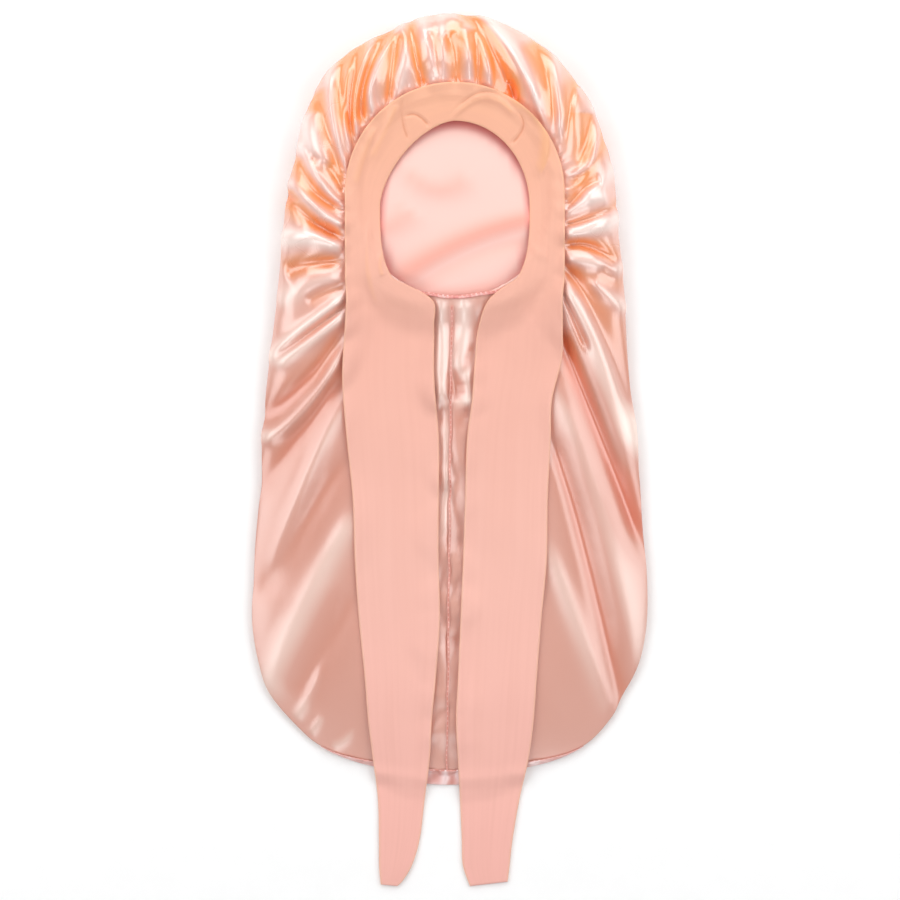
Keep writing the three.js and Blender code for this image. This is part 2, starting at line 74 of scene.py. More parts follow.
BAG_WIDTH = bag_high.x - bag_low.x
SATIN_LENGTH = bag_high.y - bag_low.y
CROWN = bag_high.y
RING_WIDTH = 200 * MM
RING_HEIGHT = 202 * MM
RING = np.array([(band_low.x + band_high.x) / 2, band_high.y - RING_HEIGHT / 2])
RIM_TUCK = 7 * MM
BAND_WIDTH = 35 * MM
BAND_SIDE_WIDTH = 32 * MM
NAPE_SHOW = 4 * MM
UPPER_SHARE = 0.475
LOWER_SQUARENESS = 3.1  # 2 is an ellipse; the opening's lower half is nearly square
OPENING_WIDTH = RING_WIDTH - 2 * BAND_SIDE_WIDTH
OPENING_HEIGHT = RING_HEIGHT - BAND_WIDTH - NAPE_SHOW
OPENING = np.array([RING[0], band_high.y - BAND_WIDTH - UPPER_SHARE * OPENING_HEIGHT])
RIM_CROWN_HEIGHT = 36 * MM
RIM_NAPE_HEIGHT = 25 * MM
CROWN_LOFT = 46 * MM
BAG_LOFT = 17 * MM
EDGE_LIFT = 20 * MM
CREST_RISE = 34 * MM
SATIN_WALL = 0.8 * MM
print("bag", round(BAG_WIDTH, 4), "by", round(SATIN_LENGTH, 4), "ring centre", RING.round(4))

# %% [markdown]
# The bag is described by lines that fan out over the front, from the gathered rim to the outline.
# The same rows made the solid. Each row goes from the crown's middle round to the hem's middle.
# turn is in degrees round the ring, down is a share of the satin's length, left and right are
# shares of half the bag's width, and loft mixes the bag's height (0) and the crown's (1).

# %% The lines of the bag
LINE_COLUMNS = "turn down left right edge loft roll".split()
LINE_ROWS = [
    (0, 0.0, -0.03, 0.03, 1.0, 1.0, 0.22),
    (10, 0.003, 0.1, 0.145, 1.0, 1.0, 0.22),
    (20, 0.013, 0.22, 0.27, 1.0, 1.0, 0.22),
    (30, 0.029, 0.36, 0.39, 1.0, 1.0, 0.22),
    (40, 0.052, 0.515, 0.515, 1.0, 1.0, 0.22),
    (50, 0.081, 0.63, 0.615, 0.97, 0.98, 0.22),
    (60, 0.111, 0.695, 0.7, 0.94, 0.94, 0.21),
    (70, 0.147, 0.745, 0.757, 0.9, 0.88, 0.2),
    (80, 0.19, 0.78, 0.812, 0.84, 0.8, 0.19),
    (90, 0.235, 0.822, 0.84, 0.78, 0.7, 0.18),
    (97, 0.292, 0.843, 0.855, 0.7, 0.58, 0.18),
    (104, 0.365, 0.868, 0.884, 0.61, 0.45, 0.19),
    (110, 0.444, 0.904, 0.9, 0.53, 0.34, 0.2),
    (116, 0.536, 0.942, 0.936, 0.46, 0.24, 0.22),
    (121, 0.629, 0.96, 0.967, 0.4, 0.15, 0.24),
    (126, 0.721, 0.988, 0.998, 0.34, 0.08, 0.26),
    (131, 0.814, 0.995, 0.99, 0.28, 0.02, 0.3),
    (137, 0.893, 0.914, 0.9, 0.22, -0.03, 0.38),
    (145, 0.948, 0.745, 0.765, 0.17, -0.06, 0.48),
    (157, 0.976, 0.58, 0.61, 0.15, -0.08, 0.56),
    (168, 0.991, 0.32, 0.35, 0.15, -0.08, 0.6),
    (180, 1.0, 0.01, -0.01, 0.15, -0.08, 0.6),
]
table = {name: np.array(values) for name, values in zip(LINE_COLUMNS, zip(*LINE_ROWS))}


def mix(a, b, share):
    return a + (b - a) * share


def smooth(value):
    share = np.clip(value, 0, 1)
    return share * share * (3 - 2 * share)


def both_sides(right, left):
    """One closed column: down the right side and back up the left."""
    return np.concatenate([right, left[-2:0:-1]])


def along(values, place, closed=False):
    """A smooth curve through a column of numbers, read at places counted in rows."""
    count = len(values)
    row = np.floor(place).astype(int)
    row = row if closed else np.minimum(row, count - 2)
    share = place - row
    picks = [(row + step) % count if closed else np.clip(row + step, 0, count - 1) for step in (-1, 0, 1, 2)]
    a, b, c, d = (values[pick] for pick in picks)
    return b + 0.5 * share * (c - a + share * (2 * a - 5 * b + 4 * c - d + share * (3 * (b - c) + d - a)))


def ring_point(turn, inset):
    """Points of the gathered ring, at angles from the crown and a distance inside it."""
    turn = np.asarray(turn)
    across = RING[0] + (RING_WIDTH / 2 - inset) * np.sin(turn)
    return np.stack([across, RING[1] + (RING_HEIGHT / 2 - inset) * np.cos(turn)], axis=-1)


def rim_height(turn):
    return mix(RIM_NAPE_HEIGHT, RIM_CROWN_HEIGHT, (1 + np.cos(turn)) / 2)


turns = both_sides(table["turn"], -table["turn"]) * RAD
column = {
    "rim_x": ring_point(turns, RIM_TUCK)[:, 0],
    "rim_y": ring_point(turns, RIM_TUCK)[:, 1],
    "rim_z": rim_height(turns),
    "edge_x": both_sides(table["right"], -table["left"]) * BAG_WIDTH / 2,
    "edge_y": CROWN - both_sides(table["down"], table["down"]) * SATIN_LENGTH,
    "edge_z": both_sides(table["edge"], table["edge"]) * EDGE_LIFT,
    "top_z": mix(BAG_LOFT, CROWN_LOFT, both_sides(table["loft"], table["loft"])),
    "roll": both_sides(table["roll"], table["roll"]) * BAG_WIDTH / 2,
}
LINE_COUNT = len(turns)
print(LINE_COUNT, "lines round the bag")

# %% [markdown]
# Satin is stiff enough to hold long, clean folds and limp enough to crease where it is gathered.
# The folds that show are laid out one by one, as ridges and valleys along bent paths on the front.
# A path is three points: where the fold leaves the band, a place that it passes, and where it ends.
# Points are millimetres right of the bag's middle and millimetres down from the crown. height and
# width are in millimetres, and lean makes one flank of a fold steeper than the other.

# %% The folds of the front
CROWN_FOLDS = [
    # x0, d0, x1, d1, x2, d2, height, width, lean
    (36, 76, 32, 33, 11, 6, 5.0, 5.0, 0.2),
    (18, 71, 18, 44, 15, 20, 3.0, 4.0, 0.0),
    (25, 69, 26, 46, 24, 24, -3.0, 3.0, 0.0),
    (5, 69, 6, 46, 2, 26, -4.0, 4.5, 0.0),
    (62, 86, 45, 47, 21, 9, -7.5, 8.0, 0.2),
    (87, 104, 62, 44, 32, 5, 6.0, 4.5, -0.3),
    (96, 104, 91, 67, 81, 35, -4.5, 6.0, 0.0),
    (101, 115, 99, 86, 97, 47, 3.0, 4.0, 0.0),
    (107, 124, 111, 78, 116, 64, -3.5, 4.0, 0.0),
    (117, 139, 126, 113, 130, 95, -5.0, 6.0, 0.0),
    (106, 149, 130, 133, 134, 95, 4.5, 3.5, 0.2),
    (111, 157, 126, 138, 141, 115, -3.0, 4.0, 0.0),
    (119, 170, 135, 157, 148, 144, 4.0, 7.0, 0.0),
    (106, 180, 119, 164, 132, 154, -5.0, 4.0, 0.2),
    (57, 89, 58, 77, 56, 66, -3.0, 2.0, 0.0),
    (-76, 102, -80, 71, -60, 26, -6.5, 6.0, 0.2),
    (-66, 95, -71, 64, -52, 22, 5.0, 4.0, 0.0),
    (-56, 86, -53, 57, -49, 29, -4.5, 4.0, 0.0),
    (-49, 82, -41, 51, -41, 18, 3.0, 6.0, 0.0),
    (-23, 71, -29, 47, -35, 18, -5.0, 4.0, 0.0),
    (-14, 69, -16, 42, -25, 9, 3.2, 5.0, 0.0),
    (-20, 20, -16, 25, -13, 44, -2.8, 4.0, 0.0),
    (-5, 69, -6, 35, -7, 6, 2.2, 3.5, 0.0),
    (-83, 115, -85, 78, -74, 36, 4.5, 3.5, 0.0),
    (-87, 124, -90, 82, -84, 42, -3.0, 3.0, 0.0),
    (-88, 133, -96, 87, -91, 49, 3.0, 4.0, 0.0),
    (-88, 115, -99, 64, -93, 44, -5.0, 7.0, 0.2),
    (-91, 149, -106, 100, -108, 56, 5.5, 5.0, 0.0),
    (-95, 157, -109, 110, -120, 80, -4.5, 7.0, 0.0),
    (-109, 142, -123, 122, -131, 100, 5.0, 9.0, 0.0),
    (-94, 168, -107, 144, -120, 133, -3.0, 4.0, 0.0),
    (-95, 177, -116, 155, -132, 129, 4.5, 4.0, 0.2),
    (-96, 179, -120, 164, -134, 140, -5.0, 5.0, 0.0),
]
SIDE_FOLDS = [
    (103, 182, 124, 172, 141, 166, 4.0, 6.0, 0.0),
    (103, 193, 126, 187, 152, 175, -5.5, 2.8, 0.0),
    (103, 202, 128, 197, 154, 184, 5.5, 9.0, 0.2),
    (103, 212, 126, 211, 150, 226, -6.5, 4.5, 0.0),
    (103, 226, 128, 226, 156, 233, 5.0, 8.0, 0.0),
    (137, 231, 146, 239, 157, 242, -3.0, 5.0, 0.0),
    (128, 243, 143, 256, 160, 268, 4.2, 6.0, 0.0),
    (101, 228, 127, 262, 163, 350, -6.0, 7.5, 0.2),
    (101, 250, 132, 296, 169, 392, 6.1, 16.0, -0.1),
    (103, 256, 112, 274, 124, 302, -5.0, 2.6, 0.0),
    (99, 288, 123, 346, 172, 470, -8.0, 7.8, 0.0),
    (93, 334, 135, 443, 174, 600, 3.2, 14.0, 0.0),
    (90, 379, 119, 470, 157, 625, -5.4, 8.0, 0.2),
    (87, 479, 117, 557, 148, 631, 2.6, 9.0, 0.0),
    (-95, 193, -116, 181, -144, 155, 5.5, 4.0, 0.2),
    (-96, 206, -125, 188, -148, 164, -8.0, 5.0, 0.0),
    (-109, 190, -131, 182, -140, 171, 3.0, 7.0, 0.0),
    (-96, 215, -123, 204, -152, 204, 6.5, 8.0, 0.2),
    (-96, 226, -125, 228, -147, 235, -5.5, 6.0, 0.0),
    (-96, 239, -127, 246, -154, 261, 3.0, 9.0, 0.0),
    (-93, 250, -109, 252, -127, 261, -3.0, 4.0, 0.0),
    (-91, 255, -129, 283, -163, 312, 5.0, 5.0, 0.0),
    (-91, 263, -125, 288, -155, 310, -3.0, 3.0, 0.0),
    (-91, 271, -120, 293, -154, 317, 4.5, 5.0, 0.2),
    (-93, 288, -123, 326, -168, 368, -5.0, 9.0, 0.2),
    (-93, 294, -125, 352, -166, 386, 6.0, 7.0, -0.2),
    (-93, 330, -127, 370, -171, 430, -4.0, 10.0, 0.0),
    (-91, 342, -126, 414, -160, 498, 3.0, 8.0, 0.2),
    (-89, 397, -132, 461, -171, 525, -3.2, 12.0, 0.0),
    (-85, 452, -122, 516, -166, 612, 3.2, 12.0, 0.2),
    (-85, 525, -109, 571, -136, 616, -2.2, 12.0, 0.0),
    (-117, 598, -126, 618, -138, 640, 2.4, 4.5, 0.0),
    (-116, 640, -120, 647, -125, 655, 2.0, 3.5, 0.0),
    (-88, 654, -95, 662, -105, 668, 2.0, 3.5, 0.0),
]
SEAM_FOLDS = [
    (-8, 250, -7, 306, -8, 352, 3.4, 6.0, 0.0),
    (12, 248, 13, 297, 8, 332, 3.6, 8.0, 0.0),
    (15, 322, 17, 340, 19, 354, 2.6, 4.0, 0.0),
    (23, 300, 18, 311, 12, 323, -3.4, 3.5, 0.0),
    (2, 322, 5, 341, 8, 353, -4.2, 4.5, 0.0),
    (-12, 350, -2, 356, 24, 351, 3.6, 3.2, 0.0),
    (18, 359, 12, 368, 5, 379, -3.0, 3.8, 0.0),
    (-5, 358, -3, 416, -4, 480, 2.8, 3.6, 0.0),
]
PATH_STEPS = 14
TAPER = 0.24  # share of a path over which a fold rises,
END_TAPER = 0.15  # and over which it runs out
CREST_POWER = 1.85  # a crest is nearly round, with a slight edge,
VALLEY_POWER = 1.8  # and a valley is a soft trough


def on_plan(x, down):
    return np.array([x * MM, CROWN - down * MM])


def bent_path(row, run_on):
    """The points of a fold's path: a curve from start to end that passes by the middle point."""
    start, middle, end = (on_plan(row[i], row[i + 1]) for i in (0, 2, 4))
    pull = 2 * middle - (start + end) / 2
    share = np.linspace(0, run_on, PATH_STEPS + 1)[:, None]
    return start * (1 - share) ** 2 + pull * 2 * share * (1 - share) + end * share**2


def fold_relief(points, rows, run_on=1.0, valley_power=VALLEY_POWER, valley_width=1.0):
    """The height that the folds in rows add at each plan point; run_on carries them past their ends."""
    relief = np.zeros(len(points))
    for row in rows:
        height, width, lean = row[6] * MM, row[7] * MM, row[8]
        path = bent_path(row, run_on)
        low, high = path.min(axis=0) - 8 * width, path.max(axis=0) + 8 * width
        near = np.flatnonzero(np.all((points > low) & (points < high), axis=1))
        here = points[near]
        nearest = np.full(len(here), 1.0)
        where = np.zeros(len(here))
        side = np.zeros(len(here))
        for step in range(PATH_STEPS):
            way = path[step + 1] - path[step]
            away = here - path[step]
            share = np.clip(away @ way / (way @ way), 0, 1)
            gap = away - share[:, None] * way
            distance = np.hypot(gap[:, 0], gap[:, 1])
            closer = distance < nearest
            nearest[closer] = distance[closer]
            where[closer] = (step + share[closer]) / PATH_STEPS
            side[closer] = np.sign(way[0] * gap[closer, 1] - way[1] * gap[closer, 0])
        spread = width * (1 + lean * side) * mix(0.75, 1.25, where)
        taper = smooth((where + 0.06) / TAPER) * smooth((1.02 - where) / END_TAPER)
        power = CREST_POWER if height > 0 else valley_power
        spread *= 1 if height > 0 else valley_width
        relief[near] += height * taper * np.exp(-((nearest / spread) ** power))
    return relief


print(len(CROWN_FOLDS) + len(SIDE_FOLDS), "folds laid out by hand")

# %% [markdown]
# Between the big folds the satin is packed into small gathers where it is sewn to the band. They
# are short bumps in a row along the rim, each with its own width, height and reach. The seam down
# the middle pulls up puckers on both of its sides. Fixed seeds give the same cloth on each run.

# %% Small gathers and puckers
GATHER_COUNT = 220
chance = np.random.default_rng(12)
gathers = [
    {
        "place": LINE_COUNT * (index + chance.uniform(-0.35, 0.35)) / GATHER_COUNT,
        "height": chance.choice([-1, 1]) * chance.uniform(0.6, 1.8) * MM,
        "width": chance.uniform(0.07, 0.15),
        "reach": chance.uniform(6, 19) * MM,
        "drift": chance.uniform(-9, 9),
    }
    for index in range(GATHER_COUNT)
]


def gather_relief(place, from_rim):
    """The height that the small gathers add, fading away from the rim."""
    relief = np.zeros(from_rim.shape)
    upper = np.minimum(place, LINE_COUNT - place)
    packed = mix(0.3, 1, smooth((upper - 4.2) / 1.2) * smooth((13 - upper) / 2))
    for gather in gathers:
        apart = np.abs(place - gather["place"] - gather["drift"] * from_rim)
        apart = np.minimum(apart, LINE_COUNT - apart)
        fade = smooth((gather["reach"] - from_rim) / gather["reach"])
        relief += packed * gather["height"] * fade * np.exp(-((apart / gather["width"]) ** 2))
    return relief


SEAM_TOP = casing_low.y - 1 * MM
SEAM_FOOT = CROWN - SATIN_LENGTH + 1 * MM
SEAM_LEAN = 2.3 * MM
CALM_FOOT = CROWN - 350 * MM  # above this the seam's puckers are low
CALM = 0.22
PUCKER_COUNT = 60
puckers = [
    {
        "y": mix(SEAM_TOP, SEAM_FOOT, (index + chance.uniform(-0.4, 0.4)) / PUCKER_COUNT),
        "side": 1 if index % 2 else -1,
        "height": chance.choice([-1, 1], p=[0.4, 0.6]) * chance.uniform(1.8, 5.0) * MM,
        "width": chance.uniform(3.5, 10.0) * MM,
        "reach": chance.uniform(9, 26) * MM,
        "slope": chance.uniform(-1.1, 1.1),
    }
    for index in range(PUCKER_COUNT)
]


def seam_x(y):
    return mix(SEAM_LEAN, -SEAM_LEAN, (SEAM_TOP - y) / (SEAM_TOP - SEAM_FOOT))


def pucker_relief(points):
    """The puckers that run out to both sides from the centre seam."""
    relief = np.zeros(len(points))
    near = np.flatnonzero((np.abs(points[:, 0]) < 40 * MM) & (points[:, 1] < SEAM_TOP + 4 * MM))
    x, y = points[near].T
    out = x - seam_x(y)
    for pucker in puckers:
        reach = pucker["reach"]
        from_seam = out * pucker["side"]
        drift = pucker["y"] + pucker["slope"] * from_seam - y
        fade = smooth(1 - np.abs(from_seam - 0.45 * reach) / reach)
        power = CREST_POWER if pucker["height"] > 0 else VALLEY_POWER
        rise = pucker["height"] * mix(1, CALM, smooth((pucker["y"] - CALM_FOOT) / (20 * MM)))
        relief[near] += rise * fade * np.exp(-((np.abs(drift) / pucker["width"]) ** power))
    return relief


DRAWN_FOLDS = [
    # pitch across the lines, pitch along them, reach, the line by which they fade, height, seed
    (0.5, 0.5, 95 * MM, 12.5, 0.8 * MM, 1.5),
    (1.5, 0.8, 34 * MM, 13.5, 0.35 * MM, 6.5),
    (3.6, 2.0, 16 * MM, 15.5, 0.6 * MM, 11.5),
]


def drawn_relief(place, share, from_rim):
    """Uneven folds that run from the rim outwards and wander, branch and merge a little."""
    relief = np.zeros(from_rim.shape)
    upper = np.minimum(place, LINE_COUNT - place)
    for pitch, along_pitch, reach, fade_line, rise, seed in DRAWN_FOLDS:
        crest = [
            noise.noise(Vector((
                p * pitch + 0.5 * noise.noise(Vector((p * 0.4, s * 2, seed + 30))),
                s * along_pitch,
                seed,
            )))
            for p, s in zip(place.ravel(), share.ravel())
        ]
        ridge = np.exp(-((np.reshape(crest, from_rim.shape) * 3.2) ** 2)) - 0.45
        mask = smooth((reach * 1.4 - from_rim) / reach) * (0.12 + 0.88 * smooth((fade_line - upper) / 4))
        relief += rise * ridge * mask
    return relief


def slow_relief(place, share, points):
    """Long soft waves that run with the lines, and a few loose dents anywhere."""
    waves = [
        noise.noise(Vector((p * 1.1, s * 2.2, 3.7))) * 1.3 + noise.noise(Vector((x * 28, y * 17, 9.1)))
        for p, s, (x, y) in zip(place.ravel(), share.ravel(), points)
    ]
    return np.array(waves) * MM


print(len(gathers), "small gathers and", len(puckers), "puckers")

# %% [markdown]
# The bag is one grid of faces, wrapped into shape. Its columns are the lines, and its rows go from
# the rim over the front to the outline, round under it, and over the back to a line down the
# middle, where the two halves meet and are merged. First the front: each point lies between rim
# and outline, at the bag's height there, and bends down near the outline.

# %% The front of the bag
SPOKES_PER_LINE = 14
FRONT_ROWS = 60
ROLL_ROWS = 7
BACK_ROWS = 13
RIM_CROWDING = 1.25  # more rows near the rim, where the gathers are,
EDGE_CROWDING = 1.5  # and near the outline, where the cloth turns under
UNDER_ROLL = 2
CROWN_SHOULDER = 0.5  # the crown's edge is round like a ball,
LOW_SHOULDER = 1.05  # and lower down the bag slopes to its edge
PAINTED_SHADE_WIDTH = 1.9  # the painted shade of the valleys is this much wider than the creases themselves
CROWN_RUN_ON = 1.25  # folds run on to the outline and over it
SIDE_RUN_ON = 1.1
CROWN_BUMP = 0.2  # share of a fold that still shows where it crosses the outline
SIDE_BUMP = 0.55

places = np.arange(LINE_COUNT * SPOKES_PER_LINE) / SPOKES_PER_LINE
value = {name: along(values, places, closed=True) for name, values in column.items()}
rim = np.column_stack([value["rim_x"], value["rim_y"]])
outline = np.column_stack([value["edge_x"], value["edge_y"]])
ahead = np.roll(outline, -1, axis=0) - np.roll(outline, 1, axis=0)
outward = np.column_stack([-ahead[:, 1], ahead[:, 0]]) / np.hypot(ahead[:, 0], ahead[:, 1])[:, None]


def from_outline(points):
    """The distance of each point to the bag's outline."""
    nearest = np.full(len(points), 1.0)
    stride = 3
    for start, end in zip(outline[::stride], np.roll(outline, -stride, axis=0)[::stride]):
        way = end - start
        away = points - start
        share = np.clip(away @ way / (way @ way), 0, 1)
        gap = away - share[:, None] * way
        nearest = np.minimum(nearest, np.hypot(gap[:, 0], gap[:, 1]))
    return nearest


step = np.linspace(0, 1, FRONT_ROWS + 1)[:, None]
spread = mix(step**RIM_CROWDING, 1 - (1 - step) ** EDGE_CROWDING, step)
share_grid, place_grid = np.broadcast_arrays(spread, places)
grid_shape = share_grid.shape
flat = mix(rim[None], outline[None], share_grid[..., None])
points = flat.reshape(-1, 2)
from_rim = np.hypot(*np.moveaxis(flat - rim, -1, 0))
inset = from_outline(points).reshape(grid_shape)
inset[-1] = 0
roundness = mix(LOW_SHOULDER, CROWN_SHOULDER, value["edge_z"] / EDGE_LIFT)
inside = (1 - (1 - np.clip(inset / value["roll"], 0, 1)) ** 2) ** roundness
top = mix(value["rim_z"], value["top_z"], smooth(from_rim / CREST_RISE))

laid = fold_relief(points, CROWN_FOLDS, CROWN_RUN_ON) + fold_relief(points, SIDE_FOLDS, SIDE_RUN_ON)
laid += fold_relief(points, SEAM_FOLDS)
laid = laid.reshape(grid_shape) * smooth(from_rim / (9 * MM))
# The same folds with wider valleys, used only for the painted shade and painted highlights
shade_and_highlight_relief = fold_relief(points, CROWN_FOLDS, CROWN_RUN_ON, CREST_POWER, PAINTED_SHADE_WIDTH)
shade_and_highlight_relief += fold_relief(points, SIDE_FOLDS, SIDE_RUN_ON, CREST_POWER, PAINTED_SHADE_WIDTH)
shade_and_highlight_relief = (shade_and_highlight_relief + fold_relief(points, SEAM_FOLDS)).reshape(grid_shape)
drawn = drawn_relief(place_grid, share_grid, from_rim) * smooth(from_rim / (7 * MM))
lift = laid + drawn
lift += gather_relief(place_grid, from_rim) * smooth(from_rim / (4 * MM))
lift += slow_relief(place_grid, share_grid, points).reshape(grid_shape) * smooth(from_rim / (20 * MM))
lift += pucker_relief(points).reshape(grid_shape) * inside
bump = mix(SIDE_BUMP, CROWN_BUMP, value["edge_z"] / EDGE_LIFT)
flat = flat + outward * (bump * lift * (1 - inside))[..., None]
height = mix(value["edge_z"], top, inside) + lift * np.sqrt(inside)
front = np.concatenate([flat, height[..., None]], axis=-1)
print("front", grid_shape, "highest", round(height.max(), 4))

# %% [markdown]
# Then the cloth turns under at the outline and lies on the surface. The back layer shows through
# the head opening, so it has its own few soft folds, which lift it off the surface.

# %% The underside of the bag
BACK_FOLDS = [
    (98, 206, 20, 222, -50, 262, -1.4, 9.0, 0.0),
    (98, 182, 20, 203, -52, 246, 3.4, 10.0, 0.0),
    (-75, 196, -52, 192, -34, 178, 1.8, 10.0, 0.0),
    (-44, 138, -14, 160, 20, 148, 1.7, 9.0, 0.0),
    (-60, 268, -20, 262, 60, 250, 1.2, 9.0, 0.0),
]
BACK_REST = 1.2 * MM
BACK_PUFF = 22 * MM  # the back layer rises under the opening, where the crown's air holds it up
BACK_PUFF_REACH = 110 * MM
SHADE_FROM = 0.92  # share of the way to the opening's edge from which the inside is shaded
SHADE_OVER = 0.14
SHADE_AT_TOP = 0.07  # and by how much sooner it starts under the crown
SPINE_TOP = CROWN - 0.12 * SATIN_LENGTH
SPINE_FOOT = CROWN - 0.86 * SATIN_LENGTH

angle = (np.arange(1, ROLL_ROWS + 1) / ROLL_ROWS * math.pi / 2)[:, None]
edge_lift = bump * lift[-1]
shift = edge_lift * (1 - np.sin(angle)) - UNDER_ROLL * value["edge_z"] * (1 - np.cos(angle))
roll_flat = outline[None] + outward[None] * shift[..., None]
roll_height = value["edge_z"] * (1 - np.sin(angle))
roll = np.concatenate([roll_flat, roll_height[..., None]], axis=-1)

spine = np.column_stack([np.zeros(len(places)), np.clip(value["edge_y"], SPINE_FOOT, SPINE_TOP)])
back_share = np.linspace(0, 1, BACK_ROWS + 1)[1:, None]
back_flat = mix(roll_flat[-1][None], spine[None], back_share[..., None])
back_relief = fold_relief(back_flat.reshape(-1, 2), BACK_FOLDS).reshape(back_flat.shape[:2])
from_middle = np.hypot(*np.moveaxis(back_flat - OPENING, -1, 0))
back_puff = BACK_PUFF * np.exp(-((from_middle / BACK_PUFF_REACH) ** 4))
out_x, out_y = np.abs(np.moveaxis(back_flat - OPENING, -1, 0))
is_upper = back_flat[..., 1] > OPENING[1]
out_x = out_x / OPENING_WIDTH * 2
out_y = out_y / OPENING_HEIGHT / np.where(is_upper, UPPER_SHARE, 1 - UPPER_SHARE)
squareness = np.where(is_upper, 2, LOWER_SQUARENESS)
opening_share = (out_x**squareness + out_y**squareness) ** (1 / squareness)
back_height = np.maximum(0, back_relief + back_puff + BACK_REST) * smooth(back_share * 4)
back = np.concatenate([back_flat, back_height[..., None]], axis=-1)
crownward = np.clip((back_flat - OPENING)[..., 1] / np.maximum(from_middle, MM), 0, 1)
under_band = smooth((opening_share - SHADE_FROM + SHADE_AT_TOP * crownward) / SHADE_OVER)

bag_shape = np.concatenate([front, roll, back])
# The height that the painted shade and highlights follow: valleys painted dark and orange, crests painted pale
dye_and_painted_light = shade_and_highlight_relief + 0.4 * drawn
bag_fold = np.concatenate([dye_and_painted_light, dye_and_painted_light[-1] * (1 - np.sin(angle)), back_relief])
bag_shade = np.concatenate([dye_and_painted_light * 0, np.zeros((ROLL_ROWS, len(places))), under_band * MM])
print("bag rows and spokes", bag_shape.shape[:2])

# %% [markdown]
# A grid operator makes the faces and lays out a map of the cloth (its UV map). Each vertex is then
# put where the arrays say, and the height of the folds is kept on the vertices for the painted shade and highlights.

# %% Wrap a grid into shape
def wrapped_grid(shape, closed=False, cloth_size=(1, 1), marks=()):
    """A bmesh grid whose vertex at each row and column is put at shape[row, column]."""
    row_count, column_count = shape.shape[:2]
    wide = column_count if closed else column_count - 1
    mesh = bmesh.new()
    cloth = mesh.loops.layers.uv.new("cloth")
    layers = {name: mesh.verts.layers.float.new(name) for name, _ in marks}
    bmesh.ops.create_grid(mesh, x_segments=wide, y_segments=row_count - 1, size=0.5, calc_uvs=True)
    for loop in (loop for face in mesh.faces for loop in face.loops):
        loop[cloth].uv.x *= cloth_size[0]
        loop[cloth].uv.y *= cloth_size[1]
    for vert in mesh.verts:
        row = round((vert.co.y + 0.5) * (row_count - 1))
        place = round((vert.co.x + 0.5) * wide) % column_count
        vert.co = shape[row, place]
        for name, values in marks:
            vert[layers[name]] = values[row, place] / MM
    bmesh.ops.remove_doubles(mesh, verts=mesh.verts, dist=0.01 * MM)
    bmesh.ops.recalc_face_normals(mesh, faces=mesh.faces)
    return mesh


def finished(mesh, name):
    """Turns a bmesh into a smooth object in the scene."""
    for face in mesh.faces:
        face.smooth = True
    data = bpy.data.meshes.new(name)
    mesh.to_mesh(data)
    mesh.free()
    piece = bpy.data.objects.new(name, data)
    bpy.context.scene.collection.objects.link(piece)
    print(name, len(data.vertices), "vertices,", len(data.polygons), "faces")
    return piece


BAG_CLOTH = (0.8, 0.72)  # flat width and length that the bag was cut to, in metres

bag_mesh = wrapped_grid(bag_shape, closed=True, cloth_size=BAG_CLOTH, marks=[("fold", bag_fold), ("shade", bag_shade)])
satin_bag = finished(bag_mesh, "satin_cloth")
wall = satin_bag.modifiers.new("wall", "SOLIDIFY")
wall.thickness = SATIN_WALL
wall.offset = -1
wall.material_offset = 1
wall.material_offset_rim = 1

# %% [markdown]
# The band, the ties and the small trims lie on the bag. A map of heights is made by dropping rays
# on a grid of small squares. Cloth bridges the dips under it, so a piece lies at the highest point
# within reach, blurred over half that reach. Inside the ring only the hollow is left, and the
# band slopes gently down into it.

# %% Heights to lie on
CELL = 2 * MM
REST_GAP = 0.3 * MM
BAND_FALL = 0.28
TIE_REACH = 12 * MM
BAND_REACH = 7 * MM
TRIM_REACH = 5 * MM
map_x = np.arange(bag_low.x - 0.03, bag_high.x + 0.03, CELL)
map_y = np.arange(tie_low.y - 0.03, CROWN + 0.03, CELL)
heights = np.zeros((len(map_y), len(map_x)))
away_x, away_y = np.meshgrid(map_x - RING[0], map_y - RING[1])
ring_turn = np.arctan2(away_x, away_y)
ring_reach = np.hypot(*np.moveaxis(ring_point(ring_turn, 0) - RING, -1, 0))
ring_inside = ring_reach - np.hypot(away_x, away_y)
hollow = np.where(ring_inside > 0, rim_height(ring_turn) - BAND_FALL * ring_inside, 0)


def lay_on(piece):
    """Adds a piece to what the next pieces lie on."""
    tree = BVHTree.FromObject(piece, bpy.context.evaluated_depsgraph_get())
    for row, y in enumerate(map_y):
        for place, x in enumerate(map_x):
            hit = tree.ray_cast(Vector((x, y, 1)), Vector((0, 0, -1)))[0]
            if hit and hit.z > heights[row, place] and ring_inside[row, place] < RIM_TUCK:
                heights[row, place] = hit.z


def discs(reach):
    cells = int(reach / CELL)
    span = range(-cells, cells + 1)
    return [(i, j) for i in span for j in span if math.hypot(i, j) <= cells]


def draped(reach):
    """The map of heights as cloth with that reach would lie on it."""
    base = np.maximum(heights, hollow)
    lifted = np.max([np.roll(base, step, axis=(0, 1)) for step in discs(reach)], axis=0)
    return np.mean([np.roll(lifted, step, axis=(0, 1)) for step in discs(reach * 0.6)], axis=0)


def read_map(grid, points):
    """The map's height at each plan point, between the middles of its squares."""
    place = np.clip((points[..., 0] - map_x[0]) / CELL, 0, len(map_x) - 1.001)
    row = np.clip((points[..., 1] - map_y[0]) / CELL, 0, len(map_y) - 1.001)
    i, j = row.astype(int), place.astype(int)
    up, over = row - i, place - j
    low = mix(grid[i, j], grid[i, j + 1], over)
    return mix(low, mix(grid[i + 1, j], grid[i + 1, j + 1], over), up)


lay_on(satin_bag)
print("height map", heights.shape, "highest", round(heights.max(), 4))

